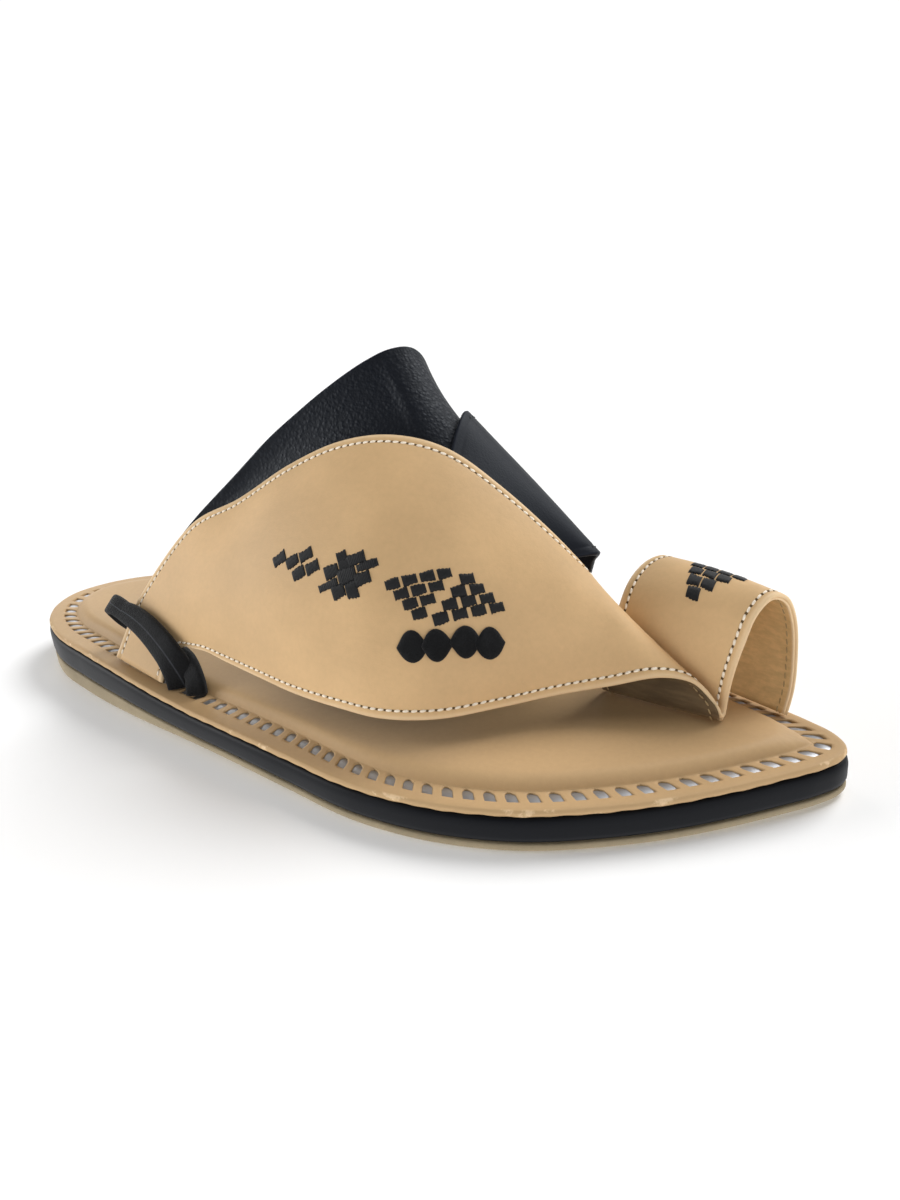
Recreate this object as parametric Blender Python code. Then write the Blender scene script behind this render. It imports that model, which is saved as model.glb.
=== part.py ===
"""Arabic sandal for the right foot, built as separate closed solids.

Frame: +X to the toe, +Y to the inner (big toe) side, +Z up, floor at z = 0, metres.
Tables are in millimetres: x from the heel end, y from the long axis, z from the floor.
"""
import bpy
import bmesh
import numpy as np

MM = 0.001
NAME = "arabic_sandal"

# Driving dimensions in millimetres.
GAP = 0.3
RIM_THICK = 2.0
PAD_RISE = 3.4
SLOT_INSET = 6.3
SLOT_LONG = 4.2
SLOT_WIDE = 2.9
SLOT_COUNT = 114
REAR_SHIFT = 1.7
VAMP_THICK = 1.8
STRAP_THICK = 1.6
WING_THICK = 1.4
WING_SINK = 0.7
KEEPER_WIDE = 6.6
KEEPER_THICK = 3.0
POST_RADIUS = 1.6
SIDE_STEPS = 40

# Plan outline of the sole, one row per station: x, outer side y, inner side y.
OUTLINE = (
    (0.0, 1.5, 1.5),
    (3.0, -9.6, 12.4),
    (11.0, -19.8, 23.2),
    (25.0, -28.8, 32.4),
    (45.0, -35.6, 36.4),
    (75.0, -43.2, 35.6),
    (110.0, -50.2, 34.2),
    (150.0, -57.8, 36.2),
    (178.0, -62.4, 39.4),
    (200.0, -61.9, 40.0),
    (222.0, -56.4, 36.2),
    (243.0, -44.9, 28.6),
    (262.0, -30.4, 18.8),
    (275.0, -18.2, 12.0),
    (282.5, -10.2, 7.2),
    (286.2, -4.4, 2.6),
    (287.0, -0.8, -0.8),
)

# Heights of the sole layers, one row per station: x, underside, outsole top, midsole top.
LAYERS = (
    (0.0, 0.0, 6.0, 15.0),
    (45.0, 0.0, 6.0, 14.8),
    (118.0, 1.3, 3.9, 10.7),
    (186.0, 0.0, 2.4, 9.6),
    (248.0, 0.0, 2.4, 9.6),
    (287.0, 1.0, 3.4, 10.6),
)

# Tan vamp from the tab on the outer rim to the toe post.
# One row per section: rear edge x, y, z, front edge x, y, z, bulge of the middle.
VAMP = (
    (66.0, -36.0, 0.0, 91.0, -41.7, 0.0, 0.0),
    (67.5, -31.5, 24.5, 91.6, -38.4, 20.5, 0.0),
    (70.0, -28.0, 32.0, 95.5, -35.8, 25.6, 0.8),
    (76.5, -24.0, 42.0, 105.0, -36.3, 27.0, 2.0),
    (91.4, -17.0, 59.0, 118.0, -38.4, 26.0, 4.0),
    (110.0, -14.2, 67.8, 132.5, -41.2, 25.0, 6.0),
    (131.0, -12.5, 79.5, 149.0, -44.3, 24.0, 7.5),
    (148.0, -10.2, 86.4, 164.0, -45.6, 23.5, 8.0),
    (164.0, -8.2, 88.5, 177.5, -45.4, 23.0, 8.0),
    (179.5, -4.4, 84.4, 192.0, -39.8, 23.0, 7.5),
    (193.0, -0.8, 73.8, 204.5, -29.0, 23.5, 6.5),
    (203.6, 2.4, 63.0, 217.0, -18.4, 24.5, 5.0),
    (210.0, 5.0, 55.0, 229.0, -11.6, 26.0, 3.5),
    (214.6, 6.2, 48.8, 239.2, -8.0, 28.3, 2.0),
    (218.6, 5.4, 40.5, 247.6, -5.0, 27.0, 1.2),
    (220.6, 3.0, 29.5, 252.9, -4.0, 22.2, 0.6),
)

# Toe post: rear and front end of the fold line on the footbed, x, y.
POST_REAR = (221.0, 2.8)
POST_FRONT = (255.5, -2.7)

# Toe loop over the big toe, same columns as the vamp.
LOOP = (
    (221.8, 5.6, 26.5, 257.2, -1.0, 27.5, 0.6),
    (223.4, 8.4, 38.2, 259.7, 1.0, 37.6, 0.8),
    (224.6, 14.0, 44.8, 261.7, 3.6, 44.2, 1.0),
    (226.8, 22.6, 47.8, 264.6, 9.2, 47.4, 1.0),
    (229.2, 29.6, 46.8, 267.0, 14.2, 44.8, 1.0),
    (230.6, 34.2, 41.0, 268.4, 17.0, 38.6, 1.0),
    (231.4, 35.0, 31.0, 269.2, 17.0, 29.0, 1.0),
    (231.6, 31.8, 20.0, 269.4, 13.6, 19.0, 0.6),
    (231.6, 27.6, 0.0, 268.6, 10.4, 0.0, 0.4),
)

# Black instep strap from under the vamp over the ridge to the inner rim, same columns.
STRAP = (
    (171.0, 25.6, 80.0, 210.6, 20.2, 47.2, 2.6),
    (163.0, 34.6, 61.0, 204.0, 28.4, 34.6, 3.2),
    (153.0, 37.8, 40.0, 197.0, 34.0, 23.0, 2.6),
    (147.5, 36.0, 24.0, 191.0, 36.6, 16.8, 1.2),
    (145.0, 32.2, 0.0, 188.0, 36.0, 0.0, 0.0),
)

# Black wing: rear edge x, y, z, then where its front edge hides.
# Vamp rows give the place along the vamp, strap rows the place along the strap.
WING_UNDER_VAMP = (
    (78.6, -20.6, 46.6, 3.35),
    (86.6, -16.2, 56.4, 3.80),
    (108.0, -10.6, 75.8, 4.75),
    (126.0, -5.2, 91.4, 5.95),
    (141.6, 1.0, 103.2, 7.20),
    (152.0, 6.0, 109.2, 8.20),
)
WING_UNDER_STRAP = (
    (156.4, 9.4, 110.8, 1.0),
    (160.2, 14.6, 110.4, 2.0),
    (160.8, 26.0, 101.4, 3.0),
    (146.4, 33.0, 77.4, 4.0),
    (131.0, 36.0, 48.0, 5.0),
    (123.0, 34.0, 26.0, 6.0),
    (119.0, 29.6, 0.0, 7.0),
)

# Keeper loop round the vamp's tail, centre line, one row per point: x, y, z.
KEEPER = (
    (96.8, -40.6, 0.0),
    (96.8, -41.0, 17.6),
    (94.8, -41.0, 22.6),
    (88.6, -38.8, 26.8),
    (80.0, -35.8, 30.4),
    (70.0, -32.8, 32.8),
    (62.6, -30.6, 33.6),
    (59.4, -28.2, 31.4),
    (60.8, -26.4, 27.6),
    (67.0, -25.6, 24.2),
    (76.0, -28.0, 21.8),
    (85.0, -31.4, 21.6),
    (93.0, -34.2, 21.8),
    (99.4, -37.2, 21.2),
    (104.2, -40.2, 17.8),
    (105.0, -41.2, 0.0),
)

# Share of the rear shift that the rim's slots take: x, share.
SHIFT = (
    (0.0, 1.0),
    (140.0, 1.0),
    (200.0, 0.0),
    (287.0, 0.0),
)

# Material of each piece: colour, roughness.
FINISH = {
    "outsole": ((0.52, 0.40, 0.27), 0.75),
    "midsole": ((0.012, 0.014, 0.019), 0.55),
    "footbed": ((0.58, 0.39, 0.21), 0.60),
    "lacing": ((0.75, 0.75, 0.74), 0.30),
    "upper": ((0.60, 0.41, 0.22), 0.55),
    "instep_strap": ((0.010, 0.012, 0.016), 0.55),
    "medial_wing": ((0.012, 0.014, 0.018), 0.60),
    "keeper_loop": ((0.009, 0.010, 0.012), 0.80),
}


def ease(x, table, column):
    """Height from a table of stations, flat at each row and eased between rows."""
    rows = np.asarray(table)
    i = np.clip(np.searchsorted(rows[:, 0], x) - 1, 0, len(rows) - 2)
    t = np.clip((x - rows[i, 0]) / (rows[i + 1, 0] - rows[i, 0]), 0.0, 1.0)
    t = t * t * (3.0 - 2.0 * t)
    return rows[i, column] * (1.0 - t) + rows[i + 1, column] * t


def layer(x, column):
    """Height of one sole layer at x."""
    return ease(np.asarray(x, float), LAYERS, column)


def rim_top(x):
    """Height of the footbed's rim at x."""
    return layer(x, 3) + GAP + RIM_THICK


def pad_top(x):
    """Height of the padded middle of the footbed at x."""
    return rim_top(x) + PAD_RISE


def hermite(points, knots, at):
    """Smooth curve through points at uneven knots, tangents from the parabola through neighbours."""
    points = np.asarray(points, float)
    step = np.diff(knots)
    slope = np.diff(points, axis=0) / step[:, None]
    tangent = np.empty_like(points)
    weight = step[:-1, None] + step[1:, None]
    tangent[1:-1] = (slope[:-1] * step[1:, None] + slope[1:] * step[:-1, None]) / weight
    tangent[0] = 1.5 * slope[0] - 0.5 * tangent[1]
    tangent[-1] = 1.5 * slope[-1] - 0.5 * tangent[-2]
    i = np.clip(np.searchsorted(knots, at, side="right") - 1, 0, len(knots) - 2)
    h = step[i][:, None]
    t = ((at - knots[i]) / step[i])[:, None]
    a = (1.0 + 2.0 * t) * (1.0 - t) ** 2
    b = t * (1.0 - t) ** 2
    c = t * t * (3.0 - 2.0 * t)
    d = t * t * (t - 1.0)
    return a * points[i] + b * h * tangent[i] + c * points[i + 1] + d * h * tangent[i + 1]


def lengths(points):
    """Running length along a line of points, starting at zero."""
    return np.concatenate(([0.0], np.cumsum(np.linalg.norm(np.diff(points, axis=0), axis=1))))


def even(points, count):
    """Points spaced evenly along a smooth curve through the given points."""
    knots = lengths(points)
    fine = hermite(points, knots, np.linspace(0.0, knots[-1], 60 * len(points)))
    return respace(fine, np.linspace(0.0, 1.0, count))


def respace(points, shares):
    """Points at the given shares of the length of a fine polyline."""
    run = lengths(points)
    return np.stack([np.interp(shares * run[-1], run, points[:, k]) for k in range(points.shape[1])], axis=1)


def two_sides(ring, steps, crowd=0.0):
    """Closed ring spaced anew: heel end, outer side, toe end, inner side, with matching steps.

    A crowd share draws the steps closer together towards the two ends.
    """
    ring = np.roll(ring, -int(np.argmin(ring[:, 0])), axis=0)
    toe = int(np.argmax(ring[:, 0]))
    closed = np.concatenate([ring, ring[:1]])
    t = np.linspace(0.0, 1.0, steps + 1)
    t = (1.0 - crowd) * t + crowd * 0.5 * (1.0 - np.cos(np.pi * t))
    outer = respace(closed[: toe + 1], t)
    inner = respace(closed[toe:], t)
    return np.concatenate([outer[:-1], inner[:-1]])


def outline():
    """Closed plan outline of the sole, finely spaced, heel end first and outer side next."""
    rows = np.asarray(OUTLINE)
    around = np.concatenate([rows[:, [0, 1]], rows[-2:0:-1, [0, 2]], rows[:1, [0, 1]]])
    wrapped = np.concatenate([around[-4:-1], around, around[1:4]])
    knots = lengths(wrapped)
    toe = knots[3 + len(rows) - 1]
    outer = hermite(wrapped, knots, np.linspace(knots[3], toe, 400))
    inner = hermite(wrapped, knots, np.linspace(toe, knots[3 + len(around) - 1], 400))
    return two_sides(np.concatenate([outer[:-1], inner[:-1]]), 300)


def inset(ring, amount):
    """Ring moved inwards along its own normals, leaving out points that come too near another side."""
    tangent = unit(np.roll(ring, -1, axis=0) - np.roll(ring, 1, axis=0))
    moved = ring + np.stack([-tangent[:, 1], tangent[:, 0]], axis=1) * amount
    apart = np.linalg.norm(moved[:, None] - ring[None], axis=2).min(axis=1)
    return two_sides(moved[apart > amount - 0.02], len(ring) // 2)


def ring_at(amount, column, rise=0.0):
    """Ring of the sole outline at an inset, on one layer's height plus a rise."""
    flat = two_sides(inset(outline(), amount), SIDE_STEPS, 0.7)
    height = layer(flat[:, 0], column) + rise
    return np.concatenate([flat, height[:, None]], axis=1)


def slid(amount, steps, crowd=0.0):
    """Plan ring at an inset that grows towards the heel by the rear shift."""
    near = two_sides(inset(outline(), amount), steps, crowd)
    far = two_sides(inset(outline(), amount + REAR_SHIFT), steps, crowd)
    share = ease(near[:, 0], SHIFT, 1)[:, None]
    return near * (1.0 - share) + far * share


def slid_at(amount, column, rise=0.0):
    """Ring at a sliding inset, on one layer's height plus a rise."""
    flat = slid(amount, SIDE_STEPS, 0.7)
    height = layer(flat[:, 0], column) + rise
    return np.concatenate([flat, height[:, None]], axis=1)


def cap_faces(first, count, flip):
    """Strips across a ring, joining the outer and inner side at like steps."""
    half = count // 2
    outer = [first + i for i in range(half + 1)]
    inner = [first] + [first + count - i for i in range(1, half)] + [first + half]
    faces = []
    for i in range(half):
        face = [outer[i], outer[i + 1], inner[i + 1], inner[i]]
        face = list(dict.fromkeys(face))
        faces.append(face[::-1] if flip else face)
    return faces


def loft(rings):
    """Closed body from a stack of rings with a strip cap at each end."""
    count = len(rings[0])
    faces = []
    for k in range(len(rings) - 1):
        for i in range(count):
            j = (i + 1) % count
            faces.append([k * count + i, k * count + j, (k + 1) * count + j, (k + 1) * count + i])
    faces += cap_faces(0, count, True)
    faces += cap_faces((len(rings) - 1) * count, count, False)
    return np.concatenate(rings), faces


def tube(rings):
    """Closed ring body: the last ring joins the first."""
    count = len(rings[0])
    total = len(rings)
    faces = []
    for k in range(total):
        n = (k + 1) % total
        for i in range(count):
            j = (i + 1) % count
            faces.append([k * count + i, k * count + j, n * count + j, n * count + i])
    return np.concatenate(rings), faces


def normals(grid):
    """Unit normals of a grid of points."""
    along = np.gradient(grid, axis=0)
    across = np.gradient(grid, axis=1)
    return unit(np.cross(along, across))


def sheet(grid, thick):
    """Closed wall of even thickness about a grid, with softly rounded edges."""
    n = normals(grid)
    rows, cols = grid.shape[:2]
    outer = (grid + n * thick * 0.5).reshape(-1, 3)
    inner = (grid - n * thick * 0.5).reshape(-1, 3)
    index = np.arange(rows * cols).reshape(rows, cols)
    border = np.concatenate([index[0, :-1], index[:-1, -1], index[-1, :0:-1], index[:0:-1, 0]])
    centre = grid.reshape(-1, 3)
    out = np.zeros_like(grid)
    out[0] += grid[0] - grid[1]
    out[-1] += grid[-1] - grid[-2]
    side = np.zeros_like(grid)
    side[:, 0] += grid[:, 0] - grid[:, 1]
    side[:, -1] += grid[:, -1] - grid[:, -2]
    push = unit(out) + unit(side)
    edge = centre[border] + push.reshape(-1, 3)[border] * thick * 0.3
    verts = np.concatenate([outer, inner, edge])
    total = rows * cols
    faces = []
    for i in range(rows - 1):
        for j in range(cols - 1):
            quad = [index[i, j], index[i + 1, j], index[i + 1, j + 1], index[i, j + 1]]
            faces.append([int(v) for v in quad])
            faces.append([int(v) + total for v in quad[::-1]])
    size = len(border)
    for k in range(size):
        m = (k + 1) % size
        a, b = int(border[k]), int(border[m])
        faces.append([a, b, 2 * total + m, 2 * total + k])
        faces.append([2 * total + k, 2 * total + m, b + total, a + total])
    return verts, faces


def unit(v):
    """Vectors scaled to length one, zero ones left alone."""
    size = np.linalg.norm(v, axis=-1, keepdims=True)
    return v / np.where(size > 1e-9, size, 1.0)


def section_rows(table, thick):
    """Rear, middle and front point of each section; a zero height means it stands on the rim."""
    rows = np.asarray(table, float)
    rear, front = rows[:, 0:3].copy(), rows[:, 3:6].copy()
    for side in (rear, front):
        stands = side[:, 2] == 0.0
        side[stands, 2] = rim_top(side[stands, 0]) + GAP + 0.3 * thick + 0.25
    middle = 0.5 * (rear + front)
    along = np.gradient(middle, axis=0)
    outward = unit(np.cross(along, front - rear))
    middle = middle - outward * rows[:, 6:7]
    return np.concatenate([rear, middle, front], axis=1)


def across(rear, middle, front, count):
    """Points along the parabola through three points, spaced by their distances."""
    a = np.linalg.norm(middle - rear, axis=1)
    b = np.linalg.norm(front - middle, axis=1)
    m = (a / (a + b))[:, None, None]
    t = np.linspace(0.0, 1.0, count)[None, :, None]
    one = (t - m) * (t - 1.0) / m
    two = t * (t - 1.0) / (m * (m - 1.0))
    three = t * (t - m) / (1.0 - m)
    return one * rear[:, None] + two * middle[:, None] + three * front[:, None]


def surface(rows, at, count):
    """Grid through section rows at the given places along them."""
    knots = np.arange(len(rows), dtype=float)
    run = lengths(rows[:, 3:6])
    line = hermite(rows, run, np.interp(at, knots, run))
    return across(line[:, 0:3], line[:, 3:6], line[:, 6:9], count)


def post_rows():
    """Toe post fold: a small half circle below the fold line, from the vamp's side to the loop's."""
    angles = np.radians((-90.0, -50.0, 0.0, 50.0, 90.0))
    rear, front = np.asarray(POST_REAR), np.asarray(POST_FRONT)
    run = unit(front - rear)
    side = np.array([-run[1], run[0]])
    rows = []
    for a in angles:
        cells = []
        for end in (rear, 0.5 * (rear + front), front):
            flat = end + side * POST_RADIUS * np.sin(a)
            base = float(pad_top(end[0])) + GAP + VAMP_THICK * 0.5 + 0.1
            cells += [flat[0], flat[1], base + POST_RADIUS * (1.0 - np.cos(a))]
        rows.append(cells)
    return np.asarray(rows)


def places(rows, spacing):
    """Row numbers along the sections, spaced so that short spans keep one step."""
    run = np.diff(lengths(rows[:, 3:6]))
    at = []
    for i, span in enumerate(run):
        steps = max(1, int(round(span / spacing)))
        at += [i + k / steps for k in range(steps)]
    return np.asarray(at + [len(rows) - 1.0])


def vamp_rows():
    """All sections of the tan band: vamp, toe post and toe loop."""
    vamp = section_rows(VAMP, VAMP_THICK)
    loop = section_rows(LOOP, VAMP_THICK)
    return np.concatenate([vamp, post_rows(), loop])


def under(rows, at, shift, depth):
    """Point a share of the way across a section, moved inside the foot's hollow by a depth."""
    grid = surface(rows, np.asarray([at - 0.02, at, at + 0.02]), 41)
    n = normals(grid)[1]
    return grid[1, int(round(shift * 40))] + n[int(round(shift * 40))] * depth


def strap_rows():
    """Strap sections: two under the vamp's rear edge and over the ridge, the rest from the table."""
    band = vamp_rows()
    depth = 0.5 * VAMP_THICK + GAP + 0.5 * STRAP_THICK + 0.1
    hid = []
    for shift in (0.10, 0.0):
        rear, mid, front = (under(band, at, shift, depth) for at in (9.1, 10.5, 12.2))
        hid.append(np.concatenate([rear, mid, front]))
    rest = section_rows(STRAP, STRAP_THICK)
    ridge = np.array([(176.6, 10.5, 91.0, 196.0, 11.0, 71.4, 214.8, 12.0, 52.8)])
    return np.concatenate([np.asarray(hid), ridge, rest])


def wing_rows():
    """Wing sections: front edges hidden under the vamp, then under the strap, eased over the ridge."""
    hosts = (
        (WING_UNDER_VAMP, vamp_rows(), VAMP_THICK, 0.12, 8),
        (WING_UNDER_STRAP, strap_rows(), STRAP_THICK, 0.20, 13),
    )
    rows = []
    for table, host, thick, lap, count in hosts:
        edge = np.asarray(table, float)
        stands = edge[:, 2] == 0.0
        edge[stands, 2] = rim_top(edge[stands, 0]) + GAP + 0.3 * WING_THICK + 0.25
        at = np.linspace(edge[0, 3], edge[-1, 3], count)
        rear = hermite(edge[:, 0:3], edge[:, 3], at)
        depth = 0.5 * thick + GAP + 0.5 * WING_THICK + 0.25
        for place, point in zip(at, rear):
            sink = WING_SINK * max(0.0, place - 6.0) if host is hosts[0][1] else 0.0
            hid = [under(host, place, share, depth + sink) for share in (0.0, lap)]
            rows.append(np.concatenate([point, *hid]))
    rows = np.asarray(rows)
    for _ in range(4):
        rows[4:14] = 0.25 * rows[3:13] + 0.5 * rows[4:14] + 0.25 * rows[5:15]
    return rows


def sweep(path, wide, thick, rise):
    """Closed strip of rounded oblong section along a path, its width turned to a rising direction."""
    tangent = unit(np.gradient(path, axis=0))
    edge = unit(rise - tangent * np.sum(rise * tangent, axis=1, keepdims=True))
    flat = np.cross(tangent, edge)
    turn = np.radians((0.0, 38.0, 90.0, 142.0, 180.0, 218.0, 270.0, 322.0))
    rings = []
    for a in turn:
        rings.append(path + edge * (0.5 * wide * np.cos(a)) + flat * (0.5 * thick * np.sin(a)))
    grid = np.stack(rings, axis=1)
    for end in (0, -1):
        slide = (path[end, 2] - grid[end, :, 2]) / tangent[end, 2]
        grid[end] += slide[:, None] * tangent[end]
    steps, count = grid.shape[:2]
    faces = []
    for i in range(steps - 1):
        for j in range(count):
            k = (j + 1) % count
            faces.append([i * count + j, i * count + k, (i + 1) * count + k, (i + 1) * count + j])
    faces.append(list(range(count))[::-1])
    faces.append([(steps - 1) * count + j for j in range(count)])
    return grid.reshape(-1, 3), faces


def make(name, verts, faces, group):
    """Mesh object from millimetres, faces turned outwards, with its own material."""
    verts = np.asarray(verts, float).copy()
    plan = outline()
    verts[:, 0:2] -= 0.5 * (plan.min(axis=0) + plan.max(axis=0))
    mesh = bpy.data.meshes.new(name)
    mesh.from_pydata((verts * MM).tolist(), [], faces)
    bm = bmesh.new()
    bm.from_mesh(mesh)
    bmesh.ops.recalc_face_normals(bm, faces=bm.faces[:])
    if bm.calc_volume(signed=True) < 0.0:
        bmesh.ops.reverse_faces(bm, faces=bm.faces[:])
    bm.to_mesh(mesh)
    bm.free()
    item = bpy.data.objects.new(name, mesh)
    group.objects.link(item)
    if name in FINISH:
        colour, rough = FINISH[name]
        stuff = bpy.data.materials.new(name)
        stuff.use_nodes = True
        shader = stuff.node_tree.nodes["Principled BSDF"]
        shader.inputs["Base Color"].default_value = (*colour, 1.0)
        shader.inputs["Roughness"].default_value = rough
        mesh.materials.append(stuff)
    return item


def prisms(corners, low, high):
    """Separate upright four-sided prisms, one per row of four plan corners."""
    verts, faces = [], []
    for quad, z0, z1 in zip(corners, low, high):
        base = len(verts)
        verts += [(x, y, z0) for x, y in quad] + [(x, y, z1) for x, y in quad]
        faces.append([base + k for k in (3, 2, 1, 0)])
        faces.append([base + k for k in (4, 5, 6, 7)])
        for k in range(4):
            m = (k + 1) % 4
            faces.append([base + k, base + m, base + m + 4, base + k + 4])
    return np.asarray(verts), faces


def slot_corners():
    """Plan corners of the lacing slots: radial cuts from an outer to an inner ring, narrower where crowded."""
    ends = []
    for amount in (SLOT_INSET - 0.5 * SLOT_LONG, SLOT_INSET + 0.5 * SLOT_LONG):
        ring = slid(amount, SLOT_COUNT // 2)
        ahead = np.roll(ring, -1, axis=0) - ring
        behind = ring - np.roll(ring, 1, axis=0)
        pitch = np.minimum(np.linalg.norm(ahead, axis=1), np.linalg.norm(behind, axis=1))
        half = np.minimum(0.5 * SLOT_WIDE, 0.29 * pitch)
        tangent = unit(ahead + behind)
        ends.append((ring - tangent * half[:, None], ring + tangent * half[:, None]))
    (a, b), (d, c) = ends
    return np.stack([a, b, c, d], axis=1)


def cut(item, cutter):
    """Exact Boolean difference kept as a live modifier."""
    cutter.hide_render = True
    cutter.display_type = "WIRE"
    step = item.modifiers.new("cut_" + cutter.name, "BOOLEAN")
    step.operation = "DIFFERENCE"
    step.solver = "EXACT"
    step.object = cutter


def build_sole(parts, cutters):
    """Outsole, midsole with a channel for the lacing, lacing strip and slotted footbed."""
    outsole = [ring_at(1.2, 1), ring_at(0.2, 1, 0.9), ring_at(0.2, 2)]
    make("outsole", *loft(outsole), parts)
    low = [ring_at(0.7, 2, GAP), ring_at(0.1, 2, GAP + 1.4)]
    high = [ring_at(0.1, 3, -1.6), ring_at(0.7, 3, -0.2), ring_at(1.4, 3)]
    near, far = SLOT_INSET - 0.5 * SLOT_LONG, SLOT_INSET + 0.5 * SLOT_LONG
    walls = ((near - 1.0, 0.0), (near - 1.0, -1.3), (far + 1.0, -1.3), (far + 1.0, 0.0))
    channel = [slid_at(amount, 3, rise) for amount, rise in walls]
    make("midsole", *loft(low + high + channel), parts)
    spots = ((near - 0.6, -1.0), (far + 0.6, -1.0), (far + 0.6, -0.4), (near - 0.6, -0.4))
    strip = [slid_at(amount, 3, rise) for amount, rise in spots]
    make("lacing", *tube(strip), parts)
    rim = [ring_at(0.9, 3, GAP), ring_at(0.5, 3, GAP + 1.2), ring_at(1.1, 3, GAP + RIM_THICK)]
    pad = []
    for amount, share in ((0.4, 0.0), (0.9, 0.42), (1.9, 0.74), (4.0, 0.93), (9.0, 1.0)):
        pad.append(slid_at(far + amount, 3, GAP + RIM_THICK + PAD_RISE * share))
    footbed = make("footbed", *loft(rim + pad), parts)
    corners = slot_corners()
    low = layer(corners[:, :, 0].mean(axis=1), 3) - 0.6
    cutter = make("slot_cutter", *prisms(corners, low, low + 8.0), cutters)
    cut(footbed, cutter)


def build_upper(parts):
    """Tan vamp and toe loop as one wall, strap, wing and keeper loop."""
    rows = vamp_rows()
    make("upper", *sheet(surface(rows, places(rows, 7.0), 11), VAMP_THICK), parts)
    rows = strap_rows()
    make("instep_strap", *sheet(surface(rows, places(rows, 9.0), 8), STRAP_THICK), parts)
    rows = wing_rows()
    make("medial_wing", *sheet(surface(rows, places(rows, 10.0), 9), WING_THICK), parts)
    path = np.asarray(KEEPER, float)
    stands = path[:, 2] == 0.0
    path[stands, 2] = rim_top(path[stands, 0]) + GAP + 0.2
    path = even(path, 36)
    rise = np.array([[0.50, 0.40, 0.80]])
    make("keeper_loop", *sweep(path, KEEPER_WIDE, KEEPER_THICK, rise), parts)


def main():
    """Clear the scene and build every piece."""
    for item in list(bpy.data.objects):
        bpy.data.objects.remove(item, do_unlink=True)
    parts = bpy.data.collections.new(NAME)
    cutters = bpy.data.collections.new(NAME + "_cutters")
    bpy.context.scene.collection.children.link(parts)
    bpy.context.scene.collection.children.link(cutters)
    build_sole(parts, cutters)
    build_upper(parts)


main()
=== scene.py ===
"""Arabic sandal for the right foot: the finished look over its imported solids.

Laid out as a Blender add-on and run as a script. The tables are in millimetres:
x from the heel end, y from the long axis, z from the floor.
"""

import bmesh
import bpy
import numpy as np
from bpy.props import FloatProperty, FloatVectorProperty, IntProperty, PointerProperty
from mathutils import Matrix


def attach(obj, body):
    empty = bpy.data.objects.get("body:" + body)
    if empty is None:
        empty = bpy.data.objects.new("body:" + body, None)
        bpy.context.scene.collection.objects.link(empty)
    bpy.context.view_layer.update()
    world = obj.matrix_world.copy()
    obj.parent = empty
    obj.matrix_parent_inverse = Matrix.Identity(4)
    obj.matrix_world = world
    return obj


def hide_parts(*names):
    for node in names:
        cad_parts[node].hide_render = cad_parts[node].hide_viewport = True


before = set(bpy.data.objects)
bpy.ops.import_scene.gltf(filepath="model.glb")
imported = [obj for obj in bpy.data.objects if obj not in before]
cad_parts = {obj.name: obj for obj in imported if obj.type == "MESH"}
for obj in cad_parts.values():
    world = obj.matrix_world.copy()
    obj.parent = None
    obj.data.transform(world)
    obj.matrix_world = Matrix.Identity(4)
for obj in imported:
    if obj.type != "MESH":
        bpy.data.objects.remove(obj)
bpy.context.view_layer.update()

bl_info = {
    "name": "Arabic sandal",
    "version": (1, 0, 0),
    "blender": (4, 5, 0),
    "location": "3D View > Sidebar > Sandal",
    "description": "Dresses the sandal's solids with leather, stitching, embroidery and a layered sole",
    "category": "Object",
}

# Metres in a millimetre. All other lengths up here are in millimetres, except the camera's.
MM = 0.001

# Room between two layers, and what is added to it under a sewn layer, the wing and a standing foot.
GAP = 0.3
SLACK = 0.1
WING_SLACK = 0.25
FOOT_SLACK = 0.25

# Footbed: rim, rise of the pad over it, and how far the slots lie further in along the rear half.
RIM_THICK = 2.0
PAD_RISE = 3.4
REAR_SHIFT = 1.7

# Leather walls, and the radius of the fold between the toes.
VAMP_THICK = 1.8
STRAP_THICK = 1.6
WING_THICK = 1.4
POST_RADIUS = 1.6

# Wing: extra depth for each section of the vamp past a place, sections that are eased, rounds of easing.
WING_SINK = 0.7
WING_SINK_FROM = 6.0
WING_EASED = np.arange(4, 14)
WING_REAR_PASSES = 5
WING_HIDDEN_PASSES = 1

# Keeper: section, the way that its width leans, and how far it spreads over how many points at its foot.
KEEPER_WIDE = 6.6
KEEPER_THICK = 3.0
KEEPER_LEAN = (0.50, 0.40, 0.80)
KEEPER_FOOT_SPREAD = 3.8
KEEPER_FOOT_RUN = 52.0

# Depth to which the seams press the vamp and the strap, and the distance of the strap's pressed line.
VAMP_PRESS = 0.20
STRAP_PRESS = 0.14
STRAP_SEAM = 2.5

# Stitches: length as a share of the pitch, slant in radians, stand over the leather, inner thread's share.
STITCH_LONG = 0.76
STITCH_SLANT = 0.16
STITCH_STAND = 0.10
INNER_THREAD = 0.6

# Needle holes, dark pieces of painted shade: length as a share of the pitch, width as a share of the thread,
# height, depth of the middle.
HOLE_LONG = 0.42
HOLE_WIDE = 1.15
HOLE_HIGH = 0.2
HOLE_SINK = 0.09

# How far the strap's thread, a diamond's skirt and an embroidered block sink into the leather.
STRAP_THREAD_SINK = 0.08
PATCH_SINK = 0.25
BLOCK_SINK = 0.2

# Slots: half of their width and half of their wall as shares of the step from slot to slot,
# then the run of their end walls and of their rounded inner end.
SLOT_HALF = 0.27
SLOT_WALL = 0.02
SLOT_LIP = 0.12
SLOT_ROUND = 1.7

# Pad of the footbed: distances from the slots at which it starts to rise and at which it is full.
PAD_START = 0.4
PAD_RUN = 9.0

# Rounded edge of the footbed's rim: inset and height above the midsole.
RIM_EDGE = ((0.9, 0.0), (0.62, 0.4), (0.5, 0.9), (0.58, 1.4), (0.85, 1.78), (1.3, 1.96), (2.2, RIM_THICK))

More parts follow.
